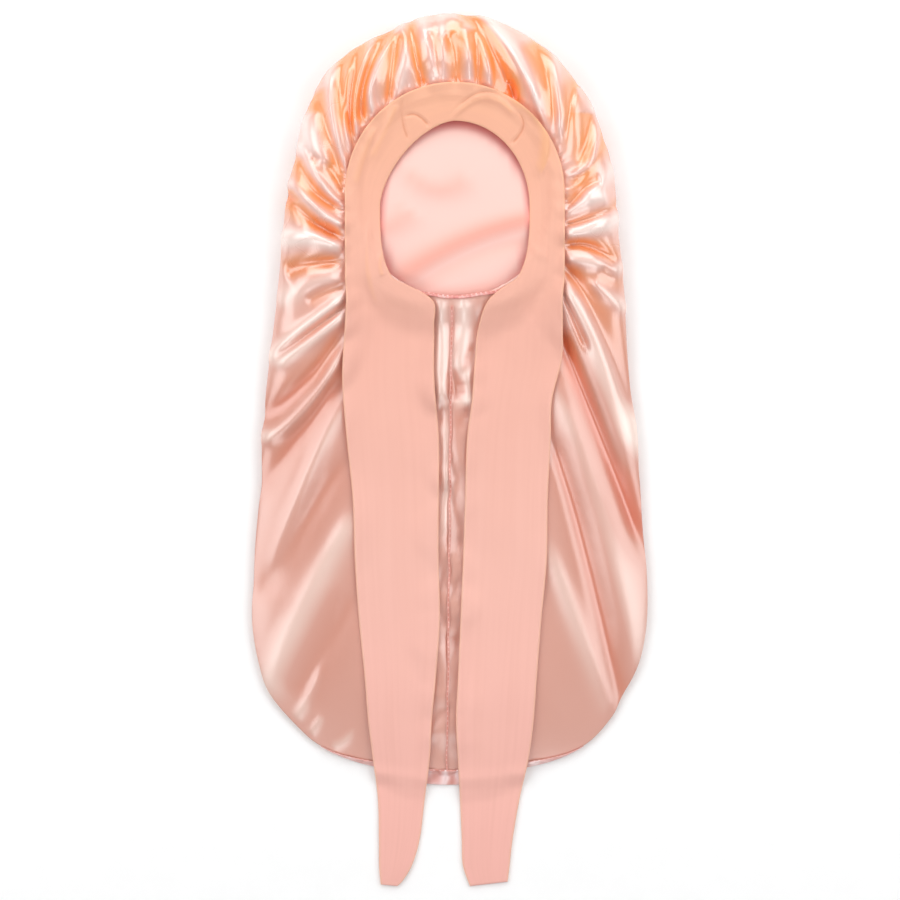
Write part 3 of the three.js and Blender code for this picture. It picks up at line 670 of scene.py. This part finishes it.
# %% [markdown]
# Every strip of cloth is a flat tube: one grid goes across the top and back across the underside,
# and the two meet in a rounded edge. The strip's edges are two rows of plan points, and its height
# comes from the map. Where a strip is sewn on to the next it is cut square instead of rounded.

# %% Strips of cloth
EDGE_TURNS = np.array([0, 30, 60]) * RAD
SHARP = 70 * RAD


def edge_steps(count, width, radius):
    """Shares from 0 to 1, with extra steps where both edges round off."""
    rounding = radius * (1 - np.cos(EDGE_TURNS)) / width
    middle = np.linspace(radius / width, 1 - radius / width, count)
    return np.concatenate([rounding, middle, 1 - rounding[::-1]])


def strip(name, start, end, count, thickness, under, relief=None, square=(False, False)):
    """A strip between two edges of plan points, lying on the map of heights called under."""
    width = np.hypot(*(end - start).T)
    radius = thickness * 0.7
    across = edge_steps(count, width.mean(), radius)
    flat = mix(start[:, None], end[:, None], across[None, :, None])
    fold = np.zeros(flat.shape[:2]) if relief is None else relief(flat)
    run = np.concatenate([[0], np.cumsum(np.hypot(*np.diff((start + end) / 2, axis=0).T))])
    side = np.minimum(across, 1 - across) * width[:, None]
    from_start = np.where(square[0], 1.0, run)
    from_end = np.where(square[1], 1.0, run[-1] - run)
    edge = np.minimum(side, np.minimum(from_start, from_end)[:, None])
    half = thickness / 2 * np.sqrt(1 - (1 - np.clip(edge / radius, 0, 1)) ** 2)
    middle = np.maximum(read_map(under, flat) + REST_GAP + thickness / 2 + fold, half)
    top = np.dstack([flat, middle + half])
    below = np.dstack([flat, middle - half])
    tube = np.concatenate([top, below[:, -2:0:-1]], axis=1)
    marks = [np.concatenate([mark, mark[:, -2:0:-1]], axis=1) for mark in (fold, side)]
    if square[0]:
        cap = np.concatenate([top, top[:, -2:0:-1]], axis=1)[:1]
        cap[..., 2] = np.concatenate([middle, middle[:, -2:0:-1]], axis=1)[:1]
        tube = np.concatenate([cap, tube])
        marks = [np.concatenate([mark[:1], mark]) for mark in marks]
    if square[1]:
        cap = np.concatenate([top, top[:, -2:0:-1]], axis=1)[-1:]
        cap[..., 2] = np.concatenate([middle, middle[:, -2:0:-1]], axis=1)[-1:]
        tube = np.concatenate([tube, cap])
        marks = [np.concatenate([mark, mark[-1:]]) for mark in marks]
    cloth_size = (2 * width.mean(), run[-1])
    mesh = wrapped_grid(tube, closed=True, cloth_size=cloth_size, marks=list(zip(("fold", "edge"), marks)))
    for rim_edge in mesh.edges:
        if rim_edge.calc_face_angle(0) > SHARP:
            rim_edge.smooth = False
    return finished(mesh, name)


# %% [markdown]
# The small sewn pieces come first, because the ties lie over their ends. The casing at the nape is
# drawn up tight, so it is a narrow roll with a gather every few millimetres. The centre seam is a
# thin ridge, and the hem is a folded strip along the bottom edge.

# %% Casing, seam and hem
CASING_TURN = 31
CASING_WIDTH = 3.2 * MM
CASING_DIP = 5 * MM  # its ends slip out under the band
CASING_PITCH = 4.2 * MM
CASING_THICKNESS = 1.5 * MM
SEAM_WIDTH = 2.0 * MM
SEAM_THICKNESS = 0.7 * MM
HEM_DEPTH = 13 * MM
HEM_LAP = 0.8 * MM  # how far the hem covers the bag's lower edge
HEM_THICKNESS = 1.3 * MM
HEM_LINES = 2.4


def casing_gathers(flat):
    around = np.arctan2(flat[..., 0] - RING[0], RING[1] - flat[..., 1]) * RING_WIDTH / 2
    wave = np.sin(around / CASING_PITCH * 2 * math.pi + 1.7 * np.sin(around / (9 * MM)))
    uneven = [[noise.noise(Vector((x, y, 1.3)) * 100) for x, y in row] for row in flat]
    return (0.15 * wave + 0.7 * np.array(uneven)) * MM


casing_share = np.linspace(-1, 1, 121)
casing_turns = (180 - CASING_TURN * casing_share) * RAD
casing_inset = RIM_TUCK + 1.5 * MM - CASING_DIP * smooth(np.abs(casing_share) * 1.6 - 0.6)
nape_casing = strip(
    "gathered_casing",
    ring_point(casing_turns, casing_inset), ring_point(casing_turns, casing_inset - CASING_WIDTH),
    7, CASING_THICKNESS, draped(TRIM_REACH), casing_gathers,
)

seam_y = np.linspace(casing_low.y - 0.5 * MM, SEAM_FOOT, 220)
seam_wobble = np.array([noise.noise(Vector((y * 60, 4.2, 0.5))) for y in seam_y]) * 0.9 * MM
seam_middle = np.column_stack([seam_x(seam_y) + seam_wobble, seam_y])
seam_side = np.array([SEAM_WIDTH / 2, 0])
centre_seam = strip(
    "puckered_seam", seam_middle - seam_side, seam_middle + seam_side,
    4, SEAM_THICKNESS, draped(2 * CELL),
)

hem_share = np.linspace(0, 1, 241)
hem_place = len(table["turn"]) - 1 + mix(-HEM_LINES, HEM_LINES, hem_share)
hem_edge = np.column_stack([along(column[name], hem_place, closed=True) for name in ("edge_x", "edge_y")])
hem_out = np.abs(2 * hem_share - 1)
hem_fade = smooth((1 - hem_out) * 1.7)
hem_depth = HEM_DEPTH * (0.05 + 0.3 * hem_fade + 0.65 * smooth((0.45 - hem_out) / 0.25))
hem_lap = HEM_LAP * mix(0.2, 1, hem_fade)


def hem_ripple(flat):
    """Puckers that the hem's stitches pull up, fading to both of its ends."""
    puckered = [[noise.noise(Vector((x * 150, y * 90, 2.2))) * 1.6 * MM for x, y in row] for row in flat]
    return np.array(puckered) * hem_fade[:, None]


bottom_hem = strip(
    "folded_hem", hem_edge + hem_lap[:, None] * (0, 1), hem_edge - hem_depth[:, None] * (0, 1),
    9, HEM_THICKNESS, draped(CELL), hem_ripple,
)
for trim in (nape_casing, centre_seam, bottom_hem):
    lay_on(trim)

# %% [markdown]
# The band is a tube of stretch knit, folded flat and sewn over the gathered rim. Its outer edge
# follows the ring over the crown and then runs straight down; its inner edge is the opening. The
# creases are laid out like the folds of the satin, only lower and softer.

# %% The band
KNIT_THICKNESS = 2.5 * MM
BAND_END_TURN = 132
UPPER_LEFT_SQUARENESS = 1.62  # 2 is an ellipse; the band is pulled straight there
BAND_STEPS = 380
BAND_CREASES = [
    (46, 74, 86, 104, 80, 152, 2.4, 4.6, -0.6),
    (2, 96, 34, 78, 60, 96, 1.8, 5.0, 0.5),
    (1, 92, 34, 72, 62, 92, -1.7, 1.4, 0.0),
    (62, 90, 67, 104, 55, 120, -1.7, 1.4, 0.0),
    (-41, 95, -30, 93, -18, 104, -1.6, 1.4, 0.0),
    (-42, 76, -43, 96, -37, 116, -1.4, 1.3, 0.0),
    (-50, 84, -55, 100, -74, 136, 1.5, 4.0, 0.3),
    (-66, 104, -76, 126, -86, 160, 1.3, 4.5, -0.3),
    (-72, 187, -75, 232, -63, 270, 1.1, 3.5, 0.2),
    (-60, 216, -63, 228, -60, 240, 1.4, 2.6, 0.0),
    (74, 211, 82, 220, 90, 221, 1.0, 5.0, 0.2),
    (86, 110, 98, 150, 96, 190, 0.9, 8.0, 0.0),
]


def opening_point(turn):
    """Points of the opening: an ellipse above its middle and a squarer curve below."""
    upper = np.cos(turn) >= 0
    upper_power = np.where(np.sin(turn) < 0, 2 / UPPER_LEFT_SQUARENESS, 1)
    power = np.where(upper, upper_power, 2 / LOWER_SQUARENESS)
    reach = OPENING_HEIGHT * np.where(upper, UPPER_SHARE, 1 - UPPER_SHARE)
    x = OPENING[0] + np.sign(np.sin(turn)) * OPENING_WIDTH / 2 * np.abs(np.sin(turn)) ** power
    y = OPENING[1] + np.sign(np.cos(turn)) * reach * np.abs(np.cos(turn)) ** power
    return np.stack([x, y], axis=-1)


def band_outer_point(share):
    quarter = math.pi / 2 * (RING_WIDTH + RING_HEIGHT) / 4
    straight = RING[1] - band_end[1]
    way = np.abs(share) * (quarter + straight)
    bent = ring_point(np.sign(share) * way * math.pi / 2 / quarter, 0)
    down = np.stack([RING[0] + np.sign(share) * RING_WIDTH / 2, RING[1] - (way - quarter)], axis=-1)
    return np.where((way < quarter)[:, None], bent, down)


def knit_relief(flat):
    """Creases and soft unevenness, the same for band and ties, so that they run on between them."""
    uneven = [[noise.noise(Vector((x, y, 0)) * 20) * 0.8 * MM for x, y in row] for row in flat]
    return np.array(uneven) + fold_relief(flat.reshape(-1, 2), BAND_CREASES).reshape(flat.shape[:2])


band_end = opening_point(np.array(BAND_END_TURN * RAD))
band_share = np.linspace(-1, 1, BAND_STEPS + 1)
lie = mix(draped(TIE_REACH), draped(BAND_REACH), smooth((map_y - band_end[1]) / (30 * MM))[:, None])
head_band = strip(
    "knit_band", band_outer_point(band_share), opening_point(band_share * BAND_END_TURN * RAD),
    34, KNIT_THICKNESS, lie, knit_relief, square=(True, True),
)

# %% [markdown]
# Each tie goes on from the band's corner, down over the bag and past its hem to the surface. Its
# table gives, at shares of its length, the middle as a share of half the ring's width and the
# width as a share of the tie's full width.

# %% The ties
TIE_LENGTH = 554 * MM
TIE_WIDTH = 84 * MM
TIE_STEPS = 300
LEFT_TIE = [
    # down, middle, width
    (0.034, 0.6, 0.93),
    (0.08, 0.595, 0.97),
    (0.166, 0.606, 1.0),
    (0.264, 0.565, 1.0),
    (0.363, 0.538, 0.935),
    (0.462, 0.529, 0.91),
    (0.56, 0.505, 0.88),
    (0.659, 0.497, 0.77),
    (0.725, 0.5, 0.695),
    (0.79, 0.488, 0.62),
    (0.856, 0.488, 0.51),
    (0.922, 0.506, 0.445),
    (0.965, 0.54, 0.36),
    (0.99, 0.575, 0.25),
    (1.0, 0.6, 0.18),
]
RIGHT_TIE = [
    (0.034, 0.647, 0.8),
    (0.083, 0.597, 0.92),
    (0.133, 0.579, 0.945),
    (0.2, 0.52, 0.87),
    (0.264, 0.492, 0.91),
    (0.363, 0.47, 0.9),
    (0.462, 0.456, 0.91),
    (0.56, 0.42, 0.88),
    (0.659, 0.387, 0.857),
    (0.725, 0.365, 0.846),
    (0.79, 0.35, 0.77),
    (0.856, 0.319, 0.65),
    (0.922, 0.296, 0.554),
    (0.965, 0.287, 0.51),
    (1.0, 0.31, 0.41),
]


def tie(name, rows, side, end_rise):
    reach = RING_WIDTH / 2
    corner = band_end[0] - RING[0]
    start = (0, (reach + corner) / 2 / reach, (reach - corner) / TIE_WIDTH)
    downs, middles, widths = np.array([start, *rows]).T
    place = np.linspace(0, len(rows), TIE_STEPS + 1)
    y = band_end[1] - 0.01 * MM - along(downs, place) * TIE_LENGTH
    middle = RING[0] + side * along(middles, place) * reach
    half = along(widths, place) * TIE_WIDTH / 2
    outer = np.column_stack([middle + side * half, y + end_rise * smooth(place - len(rows) + 1)])
    inner = np.column_stack([middle - side * half, y])
    return strip(name, outer, inner, 36, KNIT_THICKNESS, lie, knit_relief, square=(True, False))


tie_left = tie("knit_tie_left", LEFT_TIE, -1, 1.5 * MM)
tie_right = tie("knit_tie_right", RIGHT_TIE, 1, 4 * MM)

# %% [markdown]
# Shader maths reads best as plain sums. A small class wraps a node's output, so that an operator
# adds a Math node; every other node comes from one method.

# %% Shader helpers
class Wire:
    """A node's output that can stand in a sum."""

    def __init__(self, paint, socket):
        self.paint = paint
        self.socket = socket

    def _math(self, operation, first, second):
        return self.paint.node("ShaderNodeMath", {"operation": operation}, {0: first, 1: second})

    def __add__(self, other):
        return self._math("ADD", self, other)

    def __sub__(self, other):
        return self._math("SUBTRACT", self, other)

    def __rsub__(self, other):
        return self._math("SUBTRACT", other, self)

    def __mul__(self, other):
        return self._math("MULTIPLY", self, other)

    def __truediv__(self, other):
        return self._math("DIVIDE", self, other)

    __radd__ = __add__
    __rmul__ = __mul__

    def out(self, name):
        """Another output of the same node."""
        return Wire(self.paint, self.socket.node.outputs[name])


class Paint:
    """A material in the making."""

    def __init__(self, name):
        self.material = bpy.data.materials.new(name)
        self.material.use_nodes = True
        self.tree = self.material.node_tree
        self.tree.nodes.clear()

    def node(self, kind, settings=(), inputs=(), output=0):
        """Adds a node: its settings first, then the values or wires of its sockets."""
        made = self.tree.nodes.new(kind)
        for name, value in dict(settings).items():
            if name == "stops":
                ramp = made.color_ramp
                while len(ramp.elements) < len(value):
                    ramp.elements.new(0.5)
                for element, (position, colour) in zip(ramp.elements, value):
                    element.position = position
                    element.color = (*colour, 1)
            else:
                setattr(made, name, value)
        for name, value in dict(inputs).items():
            socket = made.inputs[name]
            if isinstance(value, Wire):
                self.tree.links.new(value.socket, socket)
            else:
                socket.default_value = value
        return Wire(self, made.outputs[output])

    def between(self, low, high, factor):
        """A colour between two colours."""
        inputs = {0: factor, 6: low, 7: high}
        return self.node("ShaderNodeMix", {"data_type": "RGBA"}, inputs, output=2)

    def mark(self, name):
        """A number kept on the vertices."""
        return self.node("ShaderNodeAttribute", {"attribute_name": name}, output="Fac")

    def noise(self, vector, scale, detail=2.0):
        return self.node("ShaderNodeTexNoise", {}, {"Vector": vector, "Scale": scale, "Detail": detail})

    def finish(self, **inputs):
        """Ends the material in a Principled shader with these values and wires."""
        named = {name.replace("_", " "): value for name, value in inputs.items()}
        shader = self.node("ShaderNodeBsdfPrincipled", {}, named)
        self.node_output = self.tree.nodes.new("ShaderNodeOutputMaterial")
        self.tree.links.new(shader.socket, self.node_output.inputs["Surface"])
        return self.material


def srgb(red, green, blue):
    """A colour from its 0 to 255 values on screen to the linear values of a shader."""
    def linear(value):
        share = value / 255
        return share / 12.92 if share <= 0.04045 else ((share + 0.055) / 1.055) ** 2.4
    return tuple(linear(value) for value in (red, green, blue)) + (1.0,)


# %% [markdown]
# Satin floats most of its threads on one side, so that side is smooth and glossy, and the other
# is matte. Light and shade are painted into its colour by the height of the folds, kept on the
# vertices: painted shade in the valleys, more orange round the crown, as light bounced from satin
# to satin would tint it; near-white painted highlights on the crests; and the crown painted
# lighter than the lower bag. A fine crinkle and the threads are bump.

# %% Satin
ORANGE_FROM = 0.05  # heights up the frame between which the painted shade in the valleys turns from tan to orange, and the painted flats and crests turn lighter
ORANGE_TO = 0.26
LOWER_ROUGHER = 0.08  # the flat lower bag shines more softly than the stretched crown
STITCH_PITCH = 4.5 * MM


THREAD = srgb(214, 122, 104)
LOW_DEEPEST_SHADE = srgb(218, 104, 68)  # painted shade in the deepest valleys, low on the bag
CROWN_DEEPEST_SHADE = srgb(254, 136, 60)  # and round the crown


def satin_material(name, valley, deep, flat_tone, crown_tone, crest, crown_crest_highlight, roughness, ior, crinkle,
                   relief_range=3.0, coat=0.0, shaded=srgb(240, 138, 132), stitch_line=0.0):
    paint = Paint(name)
    cloth = paint.node("ShaderNodeUVMap", {"uv_map": "cloth"})
    place = paint.node("ShaderNodeTexCoord", output="Object")
    y = paint.node("ShaderNodeSeparateXYZ", {}, {"Vector": place}, output="Y")
    upper = paint.node("ShaderNodeMapRange", {}, {"Value": y, "From Min": ORANGE_FROM, "From Max": ORANGE_TO})
    # Light and shade are painted into the base colour by the folds' height: darker valleys as painted shade, pale
    # crests as painted highlights
    depth = paint.mark("fold") / relief_range
    low = paint.node("ShaderNodeClamp", {}, {"Value": 0 - depth * 1.1})
    high = paint.node("ShaderNodeClamp", {}, {"Value": depth})
    # Round the crown the flats are painted lighter, the valleys more orange and the crests whiter
    tone_here = paint.between(flat_tone, crown_tone, upper)
    colour = paint.between(tone_here, paint.between(valley, deep, upper), low)
    colour = paint.between(colour, paint.between(crest, crown_crest_highlight, upper), high)
    # The deepest valleys get a darker painted shade
    deepest = paint.node("ShaderNodeClamp", {}, {"Value": -0.8 - depth})
    colour = paint.between(colour, paint.between(LOW_DEEPEST_SHADE, CROWN_DEEPEST_SHADE, upper), deepest)
    # Painted shade on the inside, under the band's edge
    colour = paint.between(colour, shaded, paint.mark("shade"))
    if stitch_line:
        way = paint.node("ShaderNodeSeparateXYZ", {}, {"Vector": cloth})
        off_line = paint.node("ShaderNodeMath", {"operation": "ABSOLUTE"}, {0: way - stitch_line})
        along_line = paint.node("ShaderNodeMath", {"operation": "PINGPONG"}, {0: way.out("Y"), 1: STITCH_PITCH / 2})
        dash = paint.node("ShaderNodeClamp", {}, {"Value": (along_line - STITCH_PITCH * 0.15) / 0.0002})
        stitches = paint.node("ShaderNodeClamp", {}, {"Value": (0.0005 - off_line) / 0.0003}) * dash
        colour = paint.between(colour, THREAD, stitches)
    streaks = paint.node("ShaderNodeMapping", {}, {"Vector": cloth, "Scale": (1600.0, 90.0, 1.0)})
    threads = paint.noise(streaks, 1.0)
    creases = paint.noise(place, 34.0, 3.0)
    bump_height = creases * crinkle + threads * 0.00002
    bump = paint.node("ShaderNodeBump", {}, {"Strength": 1.0, "Distance": 1.0, "Height": bump_height})
    tone = paint.noise(place, 9.0)
    rough = tone * 0.1 + (roughness + LOWER_ROUGHER - 0.05) - upper * LOWER_ROUGHER
    return paint.finish(
        Base_Color=colour, Roughness=rough, IOR=ior, Normal=bump, Sheen_Weight=0.1, Sheen_Roughness=0.4,
        Coat_Weight=coat, Coat_Roughness=0.2,
    )


satin = satin_material(
    "peach_satin", srgb(212, 132, 106), srgb(251, 158, 90), srgb(223, 158, 139), srgb(245, 188, 171),
    srgb(254, 226, 213), srgb(255, 228, 220),
    roughness=0.25, ior=2.5, crinkle=0.0005, relief_range=4.5, coat=0.12,
)
# The reverse side has painted shade too: coral on the ridges, a little darker in the valleys
satin_inside = satin_material(
    "satin_reverse", srgb(248, 190, 175), srgb(248, 190, 175), srgb(251, 205, 195), srgb(251, 205, 195),
    srgb(246, 174, 158), srgb(246, 174, 158),
    roughness=0.6, ior=1.45, crinkle=0.0003, relief_range=3.4,
)
# On the hem, seam and casing the puckers and gathers are painted darker in their dips as shade and paler on their tops
# as highlights
trim_satin = satin_material(
    "trim_satin", srgb(222, 150, 138), srgb(222, 150, 138), srgb(232, 170, 162), srgb(232, 170, 162),
    srgb(248, 214, 212), srgb(248, 214, 212),
    roughness=0.28, ior=2.3, crinkle=0.0008, relief_range=0.8, stitch_line=0.8 * MM,
)
seam_satin = satin_material(
    "seam_satin", srgb(214, 140, 120), srgb(214, 140, 120), srgb(226, 160, 146), srgb(226, 160, 146),
    srgb(240, 190, 180), srgb(240, 190, 180),
    roughness=0.3, ior=2.2, crinkle=0.0006, relief_range=1.0, stitch_line=SEAM_WIDTH / 2,
)
casing_satin = satin_material(
    "casing_satin", srgb(216, 112, 108), srgb(216, 112, 108), srgb(240, 164, 156), srgb(240, 164, 156),
    srgb(251, 214, 208), srgb(251, 214, 208),
    roughness=0.3, ior=2.0, crinkle=0.0008, relief_range=0.6, stitch_line=0.6 * MM,
)

# %% [markdown]
# The band and the ties are a fine matte knit. Its ribs run along the cloth, a little under a
# millimetre apart, and it is warmer in colour over the crown and pinker towards the tips. Light is
# painted on it too: a pale painted highlight along its edges, warm painted light on the crests of
# its creases and painted shade in their hollows.

# %% Knit
def knit_material(name):
    paint = Paint(name)
    cloth = paint.node("ShaderNodeUVMap", {"uv_map": "cloth"})
    place = paint.node("ShaderNodeTexCoord", output="Object")
    y = paint.node("ShaderNodeSeparateXYZ", {}, {"Vector": place}, output="Y")
    along_tie = paint.node(
        "ShaderNodeMapRange", {},
        {"Value": y, "From Min": band_high.y, "From Max": tie_low.y, "To Min": 0.0, "To Max": 1.0},
    )
    dye_and_painted_light = paint.node("ShaderNodeValToRGB", {"stops": [
        (0.0, srgb(246, 182, 146)[:3]), (0.3, srgb(235, 175, 157)[:3]),
        (0.6, srgb(240, 184, 170)[:3]), (0.85, srgb(246, 185, 173)[:3]), (1.0, srgb(243, 180, 169)[:3]),
    ]}, {"Fac": along_tie})
    patches = paint.noise(place, 14.0, 2.0)
    colour = paint.between(dye_and_painted_light, srgb(247, 193, 177), patches * 0.3)
    lengthways = paint.node("ShaderNodeMapping", {}, {"Vector": cloth, "Scale": (300.0, 7.0, 1.0)})
    streaks = paint.node("ShaderNodeClamp", {}, {"Value": paint.noise(lengthways, 1.0) * 3 - 1.2})
    colour = paint.between(colour, srgb(226, 162, 144), streaks * 0.14)
    # Painted highlight along the strip's edges
    edge = paint.node("ShaderNodeClamp", {}, {"Value": 1 - paint.mark("edge") / 2.2})
    colour = paint.between(colour, srgb(250, 205, 160), edge * 0.35)
    # Warm painted light on the crests of the creases
    crest = paint.node("ShaderNodeClamp", {}, {"Value": (paint.mark("fold") - 0.9) / 1.6})
    colour = paint.between(colour, srgb(250, 184, 124), crest * 0.4)
    # Painted shade in the hollows of the creases
    painted_crease_shade = paint.node("ShaderNodeClamp", {}, {"Value": (-0.7 - paint.mark("fold")) / 0.9})
    colour = paint.between(colour, srgb(216, 138, 104), painted_crease_shade * 0.6)
    ribs = paint.node(
        "ShaderNodeTexWave", {"bands_direction": "X"}, {"Vector": cloth, "Scale": 560.0, "Distortion": 0.6},
    )
    rows = paint.node(
        "ShaderNodeTexWave", {"bands_direction": "Y"}, {"Vector": cloth, "Scale": 640.0, "Distortion": 0.8},
    )
    fuzz = paint.noise(place, 900.0, 2.0)
    bump_height = ribs * 0.00003 + rows * 0.00002 + fuzz * 0.00004
    bump = paint.node("ShaderNodeBump", {}, {"Strength": 0.8, "Distance": 1.0, "Height": bump_height})
    return paint.finish(
        Base_Color=colour, Roughness=0.85, Normal=bump, Sheen_Weight=0.25, Sheen_Roughness=0.5,
    )


knit = knit_material("matte_knit")
for piece, materials in (
    (satin_bag, (satin, satin_inside)),
    (nape_casing, (casing_satin,)),
    (centre_seam, (seam_satin,)),
    (bottom_hem, (trim_satin,)),
    (head_band, (knit,)),
    (tie_left, (knit,)),
    (tie_right, (knit,)),
):
    for material in materials:
        piece.data.materials.append(material)

# %% [markdown]
# Each piece takes the place of its solid, which is hidden, and rides on the one body.

# %% What each piece is
for piece, node, slot in (
    (satin_bag, "satin_bag", "satin"),
    (nape_casing, "nape_casing", "satin_trim"),
    (centre_seam, "centre_seam", "satin_trim"),
    (bottom_hem, "bottom_hem", "satin_trim"),
    (head_band, "head_band", "stretch_band"),
    (tie_left, "tie_left", "ties"),
    (tie_right, "tie_right", "ties"),
):
    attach(piece, "root")
    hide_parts(node)

# %% [markdown]
# The bonnet lies on a plain pale floor and is seen from straight above. Soft lights stand to its
# left, its right and beyond the crown, well off the camera's line: flat satin then mirrors the
# dimmer space above and keeps its own colour, and each fold that tips towards a light shines.

# %% Floor, camera and lights
def floor_material():
    paint = Paint("pale_floor")
    place = paint.node("ShaderNodeTexCoord", output="Object")
    grain = paint.noise(place, 40.0)
    colour = paint.between(srgb(250, 250, 250), srgb(255, 255, 255), grain)
    return paint.finish(Base_Color=colour, Roughness=0.9)


floor_mesh = bmesh.new()
bmesh.ops.create_grid(floor_mesh, x_segments=1, y_segments=1, size=4)
bmesh.ops.translate(floor_mesh, verts=floor_mesh.verts, vec=(0, 0, -0.0004))
floor = finished(floor_mesh, "floor")
floor.data.materials.append(floor_material())

CAMERA_HEIGHT = 8.0
PHOTO_WIDTH = 0.8203  # metres of floor across the picture
FOCUS_HEIGHT = 0.012
SENSOR = 36
camera_data = bpy.data.cameras.new("camera")
camera_data.sensor_width = SENSOR
camera_data.lens = SENSOR * (CAMERA_HEIGHT - FOCUS_HEIGHT) / PHOTO_WIDTH
camera = bpy.data.objects.new("camera", camera_data)
camera.location = (0.0005, 0.0005, CAMERA_HEIGHT)
bpy.context.scene.collection.objects.link(camera)
bpy.context.scene.camera = camera

LIGHTS = [
    # name, place, size across and along, watts
    ("left_softbox", (-1.4, 0.25, 1.35), (2.0, 1.5), 17),
    ("right_softbox", (1.4, 0.25, 1.35), (2.0, 1.5), 17),
    ("crown_softbox", (0.0, 1.6, 1.1), (2.0, 1.2), 18),
    ("foot_softbox", (0.0, -1.9, 1.6), (1.6, 1.0), 10),
]
for name, place, size, watts in LIGHTS:
    light = bpy.data.lights.new(name, "AREA")
    light.shape = "RECTANGLE"
    light.size, light.size_y = size
    light.energy = watts
    lamp = bpy.data.objects.new(name, light)
    lamp.location = place
    lamp.rotation_euler = (-Vector(place)).to_track_quat("-Z", "Y").to_euler()
    lamp.visible_camera = False
    bpy.context.scene.collection.objects.link(lamp)

world = bpy.data.worlds.new("studio")
world.use_nodes = True
world.node_tree.nodes["Background"].inputs["Color"].default_value = (1, 1, 1, 1)
world.node_tree.nodes["Background"].inputs["Strength"].default_value = 0.3
bpy.context.scene.world = world
bpy.context.scene.view_settings.view_transform = "Standard"
